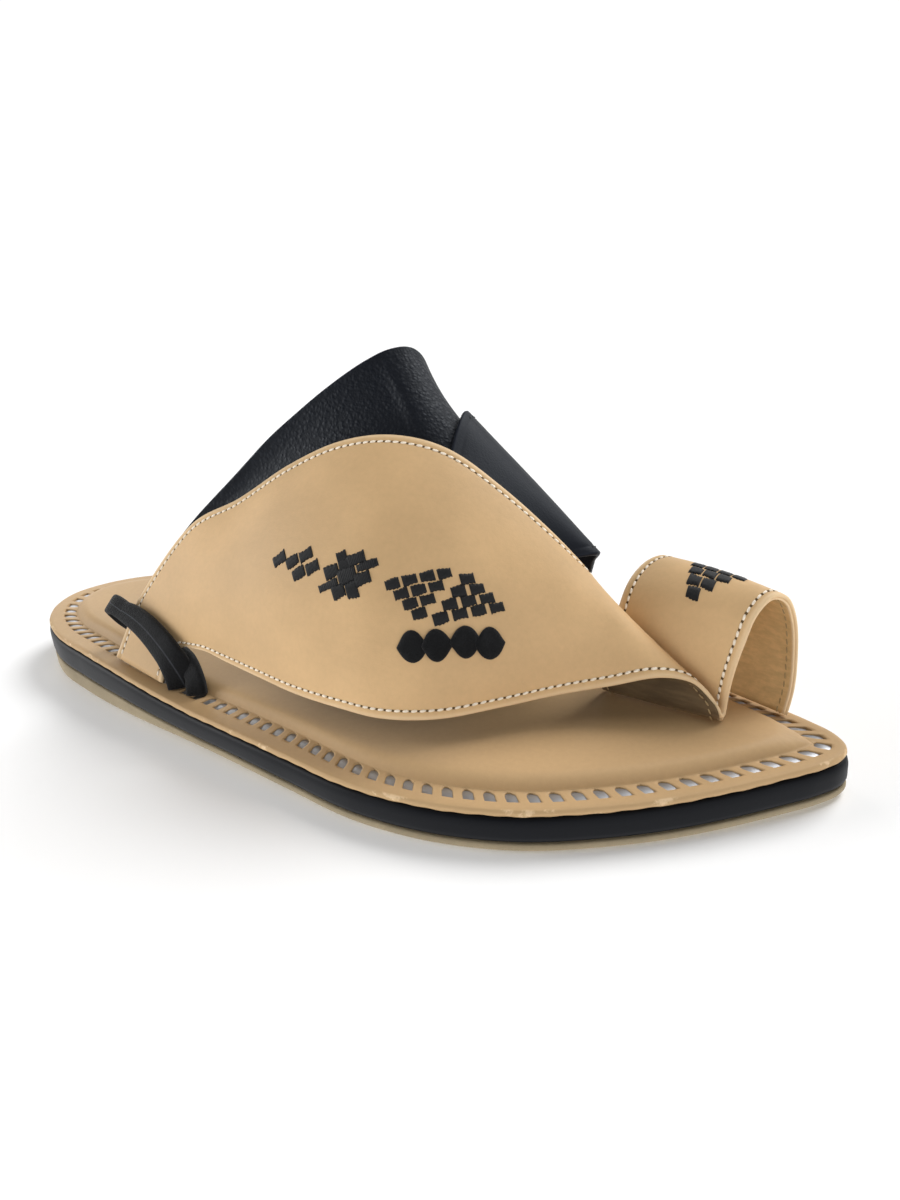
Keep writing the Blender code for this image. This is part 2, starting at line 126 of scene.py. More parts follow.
# Steps on each side of a ring of the sole, and points across its bottom and top.
SOLE_STEPS = 260
SOLE_ACROSS = 9

# Plan outline of the sole, one row per station: x, outer side y, inner side y.
OUTLINE = (
    (0.0, 1.5, 1.5),
    (3.0, -9.6, 12.4),
    (11.0, -19.8, 23.2),
    (25.0, -28.8, 32.4),
    (45.0, -35.6, 36.4),
    (75.0, -43.2, 35.6),
    (110.0, -50.2, 34.2),
    (150.0, -57.8, 36.2),
    (178.0, -62.4, 39.4),
    (200.0, -61.9, 40.0),
    (222.0, -56.4, 36.2),
    (243.0, -44.9, 28.6),
    (262.0, -30.4, 18.8),
    (275.0, -18.2, 12.0),
    (282.5, -10.2, 7.2),
    (286.2, -4.4, 2.6),
    (287.0, -0.8, -0.8),
)

# Heights of the sole layers, one row per station: x, underside, outsole top, midsole top.
UNDERSIDE, OUTSOLE_TOP, MIDSOLE_TOP = 1, 2, 3
LAYERS = (
    (0.0, 0.0, 6.0, 15.0),
    (45.0, 0.0, 6.0, 14.8),
    (118.0, 1.3, 3.9, 10.7),
    (186.0, 0.0, 2.4, 9.6),
    (248.0, 0.0, 2.4, 9.6),
    (287.0, 1.0, 3.4, 10.6),
)

# Tan vamp from the tab on the outer rim to the toe post.
# One row per section: rear edge x, y, z, front edge x, y, z, bulge of the middle.
VAMP = (
    (66.0, -36.0, 0.0, 91.0, -41.7, 0.0, 0.0),
    (67.5, -31.5, 24.5, 91.6, -38.4, 20.5, 0.0),
    (70.0, -28.0, 32.0, 95.5, -35.8, 25.6, 0.8),
    (76.5, -24.0, 42.0, 105.0, -36.3, 27.0, 2.0),
    (91.4, -17.0, 59.0, 118.0, -38.4, 26.0, 4.0),
    (110.0, -14.2, 67.8, 132.5, -41.2, 25.0, 6.0),
    (131.0, -12.5, 79.5, 149.0, -44.3, 24.0, 7.5),
    (148.0, -10.2, 86.4, 164.0, -45.6, 23.5, 8.0),
    (164.0, -8.2, 88.5, 177.5, -45.4, 23.0, 8.0),
    (179.5, -4.4, 84.4, 192.0, -39.8, 23.0, 7.5),
    (193.0, -0.8, 73.8, 204.5, -29.0, 23.5, 6.5),
    (203.6, 2.4, 63.0, 217.0, -18.4, 24.5, 5.0),
    (210.0, 5.0, 55.0, 229.0, -11.6, 26.0, 3.5),
    (214.6, 6.2, 48.8, 239.2, -8.0, 28.3, 2.0),
    (218.6, 5.4, 40.5, 247.6, -5.0, 27.0, 1.2),
    (220.6, 3.0, 29.5, 252.9, -4.0, 22.2, 0.6),
)

# Toe post: rear and front end of the fold line on the footbed, x, y.
POST_REAR = (221.0, 2.8)
POST_FRONT = (255.5, -2.7)

# Toe loop over the big toe, same columns as the vamp.
LOOP = (
    (221.8, 5.6, 26.5, 257.2, -1.0, 27.5, 0.6),
    (223.4, 8.4, 38.2, 259.7, 1.0, 37.6, 0.8),
    (224.6, 14.0, 44.8, 261.7, 3.6, 44.2, 1.0),
    (226.8, 22.6, 47.8, 264.6, 9.2, 47.4, 1.0),
    (229.2, 29.6, 46.8, 267.0, 14.2, 44.8, 1.0),
    (230.6, 34.2, 41.0, 268.4, 17.0, 38.6, 1.0),
    (231.4, 35.0, 31.0, 269.2, 17.0, 29.0, 1.0),
    (231.6, 31.8, 20.0, 269.4, 13.6, 19.0, 0.6),
    (231.6, 27.6, 0.0, 268.6, 10.4, 0.0, 0.4),
)

# Black instep strap from under the vamp over the ridge to the inner rim, same columns.
STRAP = (
    (171.0, 25.6, 80.0, 210.6, 20.2, 47.2, 2.6),
    (163.0, 34.6, 61.0, 204.0, 28.4, 34.6, 3.2),
    (153.0, 37.8, 40.0, 197.0, 34.0, 23.0, 2.6),
    (147.5, 36.0, 24.0, 191.0, 36.6, 16.8, 1.2),
    (145.0, 32.2, 0.0, 188.0, 36.0, 0.0, 0.0),
)
STRAP_RIDGE = (176.6, 10.5, 91.0, 196.0, 11.0, 71.4, 214.8, 12.0, 52.8)

# Where the strap's first two sections hide under the vamp: places along it, then shares across it.
STRAP_HIDDEN_AT = (9.1, 10.5, 12.2)
STRAP_HIDDEN_SHARES = (0.10, 0.0)

# Black wing: rear edge x, y, z, then the place along the vamp or the strap that hides its front edge.
WING_UNDER_VAMP = (
    (78.6, -20.6, 46.6, 3.35),
    (86.6, -16.2, 56.4, 3.80),
    (108.0, -10.6, 75.8, 4.75),
    (126.0, -5.2, 91.4, 5.95),
    (141.6, 1.0, 103.2, 7.20),
    (152.0, 6.0, 109.2, 8.20),
)
WING_UNDER_STRAP = (
    (156.4, 9.4, 110.8, 1.0),
    (160.2, 14.6, 110.4, 2.0),
    (160.8, 26.0, 101.4, 3.0),
    (146.4, 33.0, 77.4, 4.0),
    (131.0, 36.0, 48.0, 5.0),
    (123.0, 34.0, 26.0, 6.0),
    (119.0, 29.6, 0.0, 7.0),
)

# Keeper loop round the vamp's tail, centre line, one row per point: x, y, z.
KEEPER = (
    (96.8, -40.6, 0.0),
    (96.8, -41.0, 17.6),
    (94.8, -41.0, 22.6),
    (88.6, -38.8, 26.8),
    (80.0, -35.8, 30.4),
    (70.0, -32.8, 32.8),
    (62.6, -30.6, 33.6),
    (59.4, -28.2, 31.4),
    (60.8, -26.4, 27.6),
    (67.0, -25.6, 24.2),
    (76.0, -28.0, 21.8),
    (85.0, -31.4, 21.6),
    (93.0, -34.2, 21.8),
    (99.4, -37.2, 21.2),
    (104.2, -40.2, 17.8),
    (105.0, -41.2, 0.0),
)

# Share of the rear shift that the rim's slots take: x, share.
SHIFT = (
    (0.0, 1.0),
    (140.0, 1.0),
    (200.0, 0.0),
    (287.0, 0.0),
)

# Groups of embroidered blocks on the tan band: place along it, share across it, step to the next
# column and to the next row in mm along and across, blocks in each row, factors of width and height.
MOTIFS = (
    (6.123, 0.447, (4.9, -1.2), (2.3, 3.5), (1,), (1.20, 1.20)),
    (6.407, 0.467, (4.9, -1.2), (2.3, 3.5), (2, 2), (1.12, 1.12)),
    (8.276, 0.550, (4.5, -1.5), (2.4, 2.35), (4, 3, 2, 1), (0.96, 0.96)),
    (9.377, 0.493, (4.9, -1.6), (-2.2, 3.6), (1, 2, 3, 4), (0.98, 0.98)),
    (23.08, 0.530, (-0.1, 4.3), (3.75, -2.15), (1, 2, 3, 4), (0.98, 1.30)),
)

# Blocks of the star: offset in mm along and across from its middle, length and height.
STAR_MIDDLE = (7.503, 0.530)
STAR = (
    (0.0, 0.0, 6.0, 4.2),
    (-1.7, -5.0, 3.2, 2.9),
    (-0.9, -2.8, 3.4, 2.8),
    (2.7, -4.4, 5.6, 3.3),
    (6.0, -2.9, 6.4, 2.2),
    (4.8, 0.6, 4.9, 3.5),
    (1.6, 3.8, 3.8, 4.5),
    (-2.7, 4.4, 4.4, 3.8),
    (-6.0, 2.9, 6.8, 2.2),
    (-4.9, -0.9, 4.8, 3.6),
)

# Blocks past this place lie on the toe loop, where the embroidery is turned.
LOOP_START = 20.0

# Ways of a block's width and of its height, each as steps along and across the band.
VAMP_WEAVE = ((0.935, -0.355), (0.31, 0.95))
LOOP_WEAVE = ((-0.05, 0.97), (0.96, -0.3))

# Threads side by side in a block, and points along each.
BLOCK_THREADS = 11
BLOCK_POINTS = 7

# Suede diamonds under the embroidery: place along the band and share across it.
PATCHES = ((8.576, 0.757), (8.943, 0.747), (9.377, 0.730), (9.761, 0.733))

# Cool tint of the gloss on black leather.
BLACK_GLOSS = (0.86, 0.93, 1.0, 1.0)

# Studio sky: place from straight down at 0 to straight up at 1, then its grey.
SKY = ((0.0, 1.0), (0.485, 1.0), (0.495, 0.75), (0.64, 0.75), (0.68, 0.01), (1.0, 0.02))
SKY_STRENGTH = 1.4

# Soft lamps: name, direction they shine from, apparent size in degrees, power.
LAMPS = (
    ("back", (0.32, 0.70, 0.78), 35.0, 2.5),
    ("heel", (-0.92, -0.34, 0.30), 30.0, 1.6),
    ("front", (0.80, -0.50, 0.50), 40.0, 0.5),
    ("top", (0.10, 0.05, 1.00), 40.0, 0.5),
    ("rear", (-0.77, 0.56, 0.35), 25.0, 0.5),
)

# Floor: radius of each ring in mm, and its height just under the sole.
FLOOR_RINGS = (0.0, 400.0, 1000.0, 2500.0, 6000.0, 14000.0, 30000.0)
FLOOR_LEVEL = -0.05

# Photograph's camera: focal length and sensor, place in metres, then its right, up and forward directions.
FOCAL_LENGTH = 30.0
SENSOR = 36.0
CAMERA_PLACE = (0.1755, -0.2219, 0.1490)
CAMERA_RIGHT = (0.8621, 0.5002, -0.0808)
CAMERA_UP = (-0.1238, 0.3627, 0.9237)
CAMERA_AHEAD = (-0.4913, 0.7863, -0.3746)


def tone(red, green, blue):
    """Linear colour from screen values of 0 to 255."""
    c = np.array((red, green, blue)) / 255.0
    c = np.where(c <= 0.04045, c / 12.92, ((c + 0.055) / 1.055) ** 2.4)
    return tuple(float(v) for v in c)


def length_of(title, words, millimetres):
    """Length property in metres."""
    return FloatProperty(name=title, description=words, default=millimetres * MM, min=0.0, unit="LENGTH",
                         subtype="DISTANCE", precision=5)


def colour_of(title, words, *screen):
    """Colour property from screen values."""
    return FloatVectorProperty(name=title, description=words, default=tone(*screen), min=0.0, max=1.0, size=3,
                               subtype="COLOR")


class SandalSizes(bpy.types.PropertyGroup):
    """Sizes of the sewn and laced details."""

    stitch_pitch: length_of("Stitch pitch", "Distance from one stitch to the next", 2.3)
    stitch_inset: length_of("Stitch inset", "Distance of the seam from the leather's edge", 2.05)
    thread_width: length_of("Thread width", "Thickness of the sewing thread", 0.78)
    block_width: length_of("Block width", "Width of one embroidered block", 4.15)
    block_height: length_of("Block height", "Height of one embroidered block", 2.85)
    block_rise: length_of("Block rise", "How far the embroidery stands up from the leather", 0.42)
    patch_reach: length_of("Patch reach", "Half of a suede diamond's diagonal", 4.25)
    patch_rise: length_of("Patch rise", "Thickness of a suede diamond", 0.95)
    slot_depth: length_of("Slot depth", "Depth of the slots in the rim", 0.95)
    slot_inset: length_of("Slot inset", "Distance of the slots' middle from the sole's edge", 6.3)
    slot_long: length_of("Slot length", "Length of a slot towards the foot", 4.2)
    slot_count: IntProperty(name="Slot count", description="Slots round the rim, an even number", default=114,
                            min=20)


class SandalColours(bpy.types.PropertyGroup):
    """Colours of the materials."""

    tan: colour_of("Tan leather", "Vamp, toe loop and footbed", 209, 174, 128)
    tan_pale: colour_of("Worn tan", "Rubbed edges of the tan leather", 232, 204, 164)
    lining: colour_of("Lining", "Cream lining inside the toe loop", 226, 192, 138)
    black: colour_of("Black leather", "Strap and wing", 15, 18, 26)
    suede: colour_of("Black suede", "Keeper loop and diamonds", 15, 16, 18)
    black_thread: colour_of("Black thread", "Embroidery", 19, 20, 22)
    pale_thread: colour_of("Pale thread", "Seams of the tan leather", 250, 238, 218)
    silver: colour_of("Silver", "Lacing strip", 166, 167, 170)
    midsole: colour_of("Midsole", "Black layer of the sole", 14, 16, 21)
    outsole: colour_of("Outsole", "Beige layer of the sole", 150, 136, 110)
    floor: colour_of("Floor", "Plain pale floor", 245, 245, 245)


def ease(x, table, column):
    """Height from a table of stations: flat at each row, a smooth cubic step between rows."""
    rows = np.asarray(table)
    i = np.clip(np.searchsorted(rows[:, 0], x) - 1, 0, len(rows) - 2)
    t = np.clip((x - rows[i, 0]) / (rows[i + 1, 0] - rows[i, 0]), 0.0, 1.0)
    t = t * t * (3.0 - 2.0 * t)
    return rows[i, column] * (1.0 - t) + rows[i + 1, column] * t


def layer(x, column):
    """Height of one sole layer at x."""
    return ease(np.asarray(x, float), LAYERS, column)


def rim_top(x):
    """Height of the footbed's rim at x: the midsole's top, the gap and the rim's thickness."""
    return layer(x, MIDSOLE_TOP) + GAP + RIM_THICK


def unit(v):
    """Vectors divided by their lengths, zero ones left alone."""
    size = np.linalg.norm(v, axis=-1, keepdims=True)
    return v / np.where(size > 1e-9, size, 1.0)


def lengths(points):
    """Running length along a line of points, starting at zero."""
    return np.concatenate(([0.0], np.cumsum(np.linalg.norm(np.diff(points, axis=0), axis=1))))


def hermite(points, knots, at):
    """Cubic curve through points at uneven knots, tangents from the parabola through three neighbours."""
    points = np.asarray(points, float)
    step = np.diff(knots)
    slope = np.diff(points, axis=0) / step[:, None]
    tangent = np.empty_like(points)
    weight = step[:-1, None] + step[1:, None]
    tangent[1:-1] = (slope[:-1] * step[1:, None] + slope[1:] * step[:-1, None]) / weight
    tangent[0] = 1.5 * slope[0] - 0.5 * tangent[1]
    tangent[-1] = 1.5 * slope[-1] - 0.5 * tangent[-2]
    i = np.clip(np.searchsorted(knots, at, side="right") - 1, 0, len(knots) - 2)
    h = step[i][:, None]
    t = ((at - knots[i]) / step[i])[:, None]
    a = (1.0 + 2.0 * t) * (1.0 - t) ** 2
    b = t * (1.0 - t) ** 2
    c = t * t * (3.0 - 2.0 * t)
    d = t * t * (t - 1.0)
    return a * points[i] + b * h * tangent[i] + c * points[i + 1] + d * h * tangent[i + 1]


def respace(points, shares):
    """Points at the given shares of a fine polyline's length."""
    run = lengths(points)
    return np.stack([np.interp(shares * run[-1], run, points[:, k]) for k in range(points.shape[1])], axis=1)


def even(points, count):
    """Points spaced evenly along the cubic curve through the given points."""
    knots = lengths(points)
    fine = hermite(points, knots, np.linspace(0.0, knots[-1], 60 * len(points)))
    return respace(fine, np.linspace(0.0, 1.0, count))


def two_sides(ring, steps):
    """Closed ring spaced anew: heel end, outer side, toe end, inner side, equal steps on each side."""
    ring = np.roll(ring, -int(np.argmin(ring[:, 0])), axis=0)
    toe = int(np.argmax(ring[:, 0]))
    closed = np.concatenate([ring, ring[:1]])
    t = np.linspace(0.0, 1.0, steps + 1)
    return np.concatenate([respace(closed[: toe + 1], t)[:-1], respace(closed[toe:], t)[:-1]])


def outline():
    """Closed plan outline of the sole from its table, heel end first and outer side next."""
    rows = np.asarray(OUTLINE)
    around = np.concatenate([rows[:, [0, 1]], rows[-2:0:-1, [0, 2]], rows[:1, [0, 1]]])
    wrapped = np.concatenate([around[-4:-1], around, around[1:4]])
    knots = lengths(wrapped)
    toe = knots[3 + len(rows) - 1]
    outer = hermite(wrapped, knots, np.linspace(knots[3], toe, 400))
    inner = hermite(wrapped, knots, np.linspace(toe, knots[3 + len(around) - 1], 400))
    return two_sides(np.concatenate([outer[:-1], inner[:-1]]), 300)


PLAN = outline()
MOVE = np.append(-0.5 * (PLAN.min(axis=0) + PLAN.max(axis=0)), 0.0)


def inset(amount, steps):
    """Outline moved inwards along its normals, without the points that come nearer to another side."""
    tangent = unit(np.roll(PLAN, -1, axis=0) - np.roll(PLAN, 1, axis=0))
    moved = PLAN + np.stack([-tangent[:, 1], tangent[:, 0]], axis=1) * amount
    apart = np.linalg.norm(moved[:, None] - PLAN[None], axis=2).min(axis=1)
    return two_sides(moved[apart > amount - 0.02], steps)


def ring_at(amount, turn, count, slide=0.0):
    """Plan points at an inset and at slot numbers; slide is the share of the rear shift that is added."""
    fine = 24 * (count // 2)
    ring = inset(amount, fine)
    if slide > 0.0:
        share = slide * ease(ring[:, 0], SHIFT, 1)[:, None]
        ring = ring * (1.0 - share) + inset(amount + REAR_SHIFT, fine) * share
    closed = np.concatenate([ring, ring[:1]])
    spot = np.mod(turn, count) / count * 2 * fine
    return np.stack([np.interp(spot, np.arange(2 * fine + 1), closed[:, k]) for k in (0, 1)], axis=-1)


def softened(plan, reach, share):
    """Ring blended towards the running mean of its neighbours, so its tight corners turn round."""
    if share == 0.0:
        return plan
    weights = np.hanning(2 * reach + 3)[1:-1]
    wrapped = np.concatenate([plan[-reach:], plan, plan[:reach]])
    mean = np.stack([np.convolve(wrapped[:, k], weights / weights.sum(), "valid") for k in range(2)], axis=1)
    return plan + share * (mean - plan)


def raised(plan, column, rise):
    """Plan points set on one layer's height plus a rise."""
    return np.concatenate([plan, (layer(plan[..., 0], column) + rise)[..., None]], axis=-1)


def quads(rows, cols, around=False):
    """Corner numbers of a grid's faces; around joins the last column to the first."""
    i, j = np.meshgrid(np.arange(rows - 1), np.arange(cols if around else cols - 1), indexing="ij")
    k = (j + 1) % cols
    corners = (i * cols + j, (i + 1) * cols + j, (i + 1) * cols + k, i * cols + k)
    return np.stack(corners, axis=-1).reshape(-1, 4)


def repeated(faces, points, count):
    """Corner numbers of a shape of so many points, once more for each of its copies."""
    return (faces[None] + (np.arange(count) * points)[:, None, None]).reshape(-1, 4)


def bridge(ring, count):
    """Flat grid across a closed ring, from each outer point straight to the matching inner one."""
    half = len(ring) // 2
    outer = ring[: half + 1]
    inner = np.concatenate([ring[:1], ring[:half - 1:-1]])
    t = np.linspace(0.0, 1.0, count)[None, :, None]
    return outer[:, None] * (1.0 - t) + inner[:, None] * t


def stood(points, above):
    """Points whose zero heights are put on the rim, at a height above it."""
    points = np.array(points, float)
    stands = points[:, 2] == 0.0
    points[stands, 2] = rim_top(points[stands, 0]) + GAP + above
    return points


def section_rows(table, thick):
    """Rear, middle and front point of each section; a zero height stands on the rim."""
    rows = np.asarray(table, float)
    rear, front = (stood(rows[:, k:k + 3], 0.3 * thick + FOOT_SLACK) for k in (0, 3))
    middle = 0.5 * (rear + front)
    outward = unit(np.cross(np.gradient(middle, axis=0), front - rear))
    return np.concatenate([rear, middle - outward * rows[:, 6:7], front], axis=1)


def post_rows():
    """Toe post fold: a half circle below the fold line, from the vamp's side to the loop's."""
    a = np.radians((-90.0, -50.0, 0.0, 50.0, 90.0))[:, None]
    rear, front = np.asarray(POST_REAR), np.asarray(POST_FRONT)
    run = unit(front - rear)
    side = np.array([-run[1], run[0]])
    cells = []
    for end in (rear, 0.5 * (rear + front), front):
        base = float(rim_top(end[0])) + PAD_RISE + GAP + VAMP_THICK * 0.5 + SLACK
        cells += [end + side * POST_RADIUS * np.sin(a), base + POST_RADIUS * (1.0 - np.cos(a))]
    return np.concatenate(cells, axis=1)


def band(rows, at, share):
    """Points of a band: a cubic along its sections, then the parabola through rear, middle and front."""
    at, share = np.broadcast_arrays(np.asarray(at, float), np.asarray(share, float))
    run = lengths(rows[:, 3:6])
    line = hermite(rows, run, np.interp(at.ravel(), np.arange(len(rows)), run))
    rear, middle, front = line[:, 0:3], line[:, 3:6], line[:, 6:9]
    a = np.linalg.norm(middle - rear, axis=1)
    b = np.linalg.norm(front - middle, axis=1)
    m = (a / (a + b))[:, None]
    t = share.reshape(-1, 1)
    spot = (t - m) * (t - 1.0) / m * rear
    spot = spot + t * (t - 1.0) / (m * (m - 1.0)) * middle
    spot = spot + t * (t - m) / (1.0 - m) * front
    return spot.reshape(*at.shape, 3)


def slopes(rows, at, share):
    """Steps of a band along and across, and its unit normal away from the foot."""
    e = 2e-3
    low, high = np.clip(at - e, 0.0, len(rows) - 1.0), np.clip(at + e, 0.0, len(rows) - 1.0)
    along = (band(rows, high, share) - band(rows, low, share)) / (high - low)[..., None]
    across = (band(rows, at, share + e) - band(rows, at, share - e)) / (2.0 * e)
    return along, across, -unit(np.cross(along, across))


def places(rows, spacing):
    """Row numbers along the sections, about one spacing apart."""
    steps = np.maximum(1, np.round(np.diff(lengths(rows[:, 3:6])) / spacing)).astype(int)
    start = np.repeat(np.arange(len(steps)), steps)
    within = np.arange(steps.sum()) - np.repeat(np.cumsum(steps) - steps, steps)
    return np.append(start + within / np.repeat(steps, steps), len(rows) - 1.0)


def vamp_rows():
    """All sections of the tan band: vamp, toe post and toe loop."""
    return np.concatenate([section_rows(VAMP, VAMP_THICK), post_rows(), section_rows(LOOP, VAMP_THICK)])


def under(rows, at, share, depth):
    """Point of a band moved towards the foot by a depth."""
    at, share = np.asarray([at], float), np.asarray([share], float)
    return (band(rows, at, share) - slopes(rows, at, share)[2] * depth)[0]


def strap_rows():
    """Strap sections: two hidden under the vamp's rear edge, one over the ridge, the rest from the table."""
    vamp = vamp_rows()
    depth = 0.5 * VAMP_THICK + GAP + 0.5 * STRAP_THICK + SLACK
    hidden = [[under(vamp, at, share, depth) for at in STRAP_HIDDEN_AT] for share in STRAP_HIDDEN_SHARES]
    return np.concatenate([np.reshape(hidden, (-1, 9)), [STRAP_RIDGE], section_rows(STRAP, STRAP_THICK)])


def wing_rows():
    """Wing sections: front edges hidden under the vamp, then under the strap, eased over the ridge."""
    rows = []
    hosts = (
        (WING_UNDER_VAMP, vamp_rows(), VAMP_THICK, 0.12, 8, WING_SINK),
        (WING_UNDER_STRAP, strap_rows(), STRAP_THICK, 0.20, 13, 0.0),
    )
    for table, host, thick, lap, count, sink in hosts:
        edge = stood(table, 0.3 * WING_THICK + FOOT_SLACK)
        at = np.linspace(edge[0, 3], edge[-1, 3], count)
        slack = WING_SLACK + sink * np.maximum(0.0, at - WING_SINK_FROM)
        depth = 0.5 * thick + GAP + 0.5 * WING_THICK + slack
        for place, point, deep in zip(at, hermite(edge[:, 0:3], edge[:, 3], at), depth):
            hidden = [under(host, place, share, deep) for share in (0.0, lap)]
            rows.append(np.concatenate([point, *hidden]))
    rows = np.asarray(rows)
    for columns, passes in ((rows[:, :3], WING_REAR_PASSES), (rows[:, 3:], WING_HIDDEN_PASSES)):
        for _ in range(passes):
            around = columns[WING_EASED - 1] + columns[WING_EASED + 1]
            columns[WING_EASED] = 0.5 * columns[WING_EASED] + 0.25 * around
    return rows


def widths(rows, at):
    """Length of each section from the rear edge to the front edge."""
    line = band(rows, at[:, None], np.linspace(0.0, 1.0, 25)[None])
    return np.linalg.norm(np.diff(line, axis=1), axis=2).sum(axis=1)


def wall(rows, spacing, thick, steps, middle, rim, shape=None):
    """Closed wall about a band, its section carried along the rows.

    The section runs over the outer face, round the front edge, back over the inner face and
    round the rear edge. rim lists the edge's points as height and reach; shape gives the outer
    face's height from place, share and distance to the nearest edge. Both ends close on the middle line.
    """
    at = places(rows, spacing)
    wide = widths(rows, at)[:, None]
    near = np.asarray(steps)[None] / wide
    mid = near[:, -1:] + (1.0 - 2.0 * near[:, -1:]) * np.linspace(0.0, 1.0, middle + 2)[None, 1:-1]
    share = np.concatenate([near, mid, 1.0 - near[:, ::-1]], axis=1)
    place = np.broadcast_to(at[:, None], share.shape)
    spot, normal = band(rows, place, share), slopes(rows, place, share)[2]
    edge = np.minimum(share, 1.0 - share) * wide
    lift = 0.5 * thick + (shape(place, share, edge) if shape else 0.0 * edge)
    outer, inner = spot + normal * lift[..., None], spot - normal * 0.5 * thick
    high, reach = np.asarray(rim)[:, 0], np.asarray(rim)[:, 1]
    sides = []
    for k, j in ((-1, -2), (0, 1)):
        out = unit(spot[:, k] - spot[:, j])
        turn = normal[:, k][:, None] * high[None, :, None] + out[:, None] * reach[None, :, None]
        sides.append(spot[:, k][:, None] + turn)
    grid = np.concatenate([outer, sides[0], inner[:, ::-1], sides[1][:, ::-1]], axis=1)
    flat = np.concatenate([spot, np.repeat(spot[:, -1:], len(rim), axis=1), spot[:, ::-1],
                           np.repeat(spot[:, :1], len(rim), axis=1)], axis=1)
    grid = np.concatenate([flat[:1], grid, flat[-1:]])
    bare = np.zeros((len(at), len(rim)))
    away = np.concatenate([edge, bare, edge[:, ::-1], bare], axis=1)
    away = np.concatenate([away[:1], away, away[-1:]])
    run = np.concatenate([at[:1], at, at[-1:]])[:, None] + 0.0 * away
    return grid, away, run, share.shape[1]


def seam(rows, first, last, away, front, height, inside, sizes):
    """Seam line along a band at a distance from one edge: points one stitch apart, directions, normals."""
    at = np.linspace(first, last, 1500)
    share = away / widths(rows, at)
    share = 1.0 - share if front else share
    normal = slopes(rows, at, share)[2] * (-1.0 if inside else 1.0)
    line = band(rows, at, share) + normal * height
    run = lengths(line)
    pitch = sizes.stitch_pitch / MM
    spots = np.arange(0.5 * pitch, run[-1], pitch)
    spot = np.stack([np.interp(spots, run, line[:, k]) for k in range(3)], axis=1)
    up = unit(np.stack([np.interp(spots, run, normal[:, k]) for k in range(3)], axis=1))
    ahead = unit(np.gradient(spot, axis=0))
    return spot, unit(ahead - up * np.sum(ahead * up, axis=1, keepdims=True)), up


def beads(spot, ahead, up, long, wide, high, slant):
    """Stitches: a short rod tapering to both ends, repeated at each spot and turned by a slant."""
    x = np.array((-1.0, -0.82, -0.35, 0.35, 0.82, 1.0))[:, None]
    r = np.array((0.0, 0.62, 1.0, 1.0, 0.62, 0.0))[:, None]
    a = np.linspace(0.0, 2.0 * np.pi, 7)[None, :-1]
    thick = (0.5 * wide * r * np.cos(a), 0.5 * high * r * np.sin(a))
    rod = np.stack([0.5 * long * x + 0.0 * a, *thick], axis=-1)
    side = np.cross(up, ahead)
    way = ahead * np.cos(slant) + side * np.sin(slant)
    frames = np.stack([way, np.cross(up, way), up], axis=1)
    points = spot[:, None] + rod.reshape(-1, 3) @ frames
    rings, sides = len(x), a.shape[1]
    return points.reshape(-1, 3), repeated(quads(rings, sides, True), rings * sides, len(spot))


def put(name, shells, finishes, slot="", stands_for=(), upward=False):
    """One mesh object from shells of points in mm, corner numbers, finish numbers and point values.

    Closed shells are turned so that their volume is positive, open ones so that they face up.
    A piece with a slot rides on the sandal.
    """
    points, faces, kinds, values, base = [], [], [], {}, 0
    for shell in shells:
        spot = np.asarray(shell["points"], float).reshape(-1, 3)
        face = np.asarray(shell["faces"])
        a, b, c, d = (spot[face[:, k]] for k in range(4))
        area = np.cross(c - a, d - b)
        size = area[:, 2].sum() if upward else np.sum((a + b + c + d) * area)
        points.append(spot)
        faces.append((face[:, ::-1] if size < 0.0 else face) + base)
        kinds.append(np.broadcast_to(shell.get("kind", 0), len(face)))
        for key, numbers in shell.get("values", {}).items():
            values.setdefault(key, []).append(np.asarray(numbers, float).ravel())
        base += len(spot)
    points, faces, kinds = (np.concatenate(part) for part in (points, faces, kinds))
    mesh = bpy.data.meshes.new(name)
    mesh.vertices.add(len(points))
    mesh.vertices.foreach_set("co", ((points + MOVE) * MM).ravel())
    mesh.loops.add(faces.size)
    mesh.loops.foreach_set("vertex_index", faces.ravel().astype(np.int32))
    mesh.polygons.add(len(faces))
    mesh.polygons.foreach_set("loop_start", np.arange(0, faces.size, 4, dtype=np.int32))
    mesh.polygons.foreach_set("material_index", kinds.astype(np.int32))
    mesh.update(calc_edges=True)
    for key, numbers in values.items():
        mesh.attributes.new(key, "FLOAT", "POINT").data.foreach_set("value", np.concatenate(numbers))
    shape = bmesh.new()
    shape.from_mesh(mesh)
    bmesh.ops.remove_doubles(shape, verts=shape.verts[:], dist=2e-6)
    shape.to_mesh(mesh)
    shape.free()
    mesh.polygons.foreach_set("use_smooth", np.ones(len(mesh.polygons), dtype=bool))
    for finish in finishes:
        mesh.materials.append(finish)
    piece = bpy.data.objects.new(name, mesh)
    bpy.context.scene.collection.objects.link(piece)
    if slot:
        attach(piece, "root")
    if stands_for:
        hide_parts(*stands_for)
    return piece


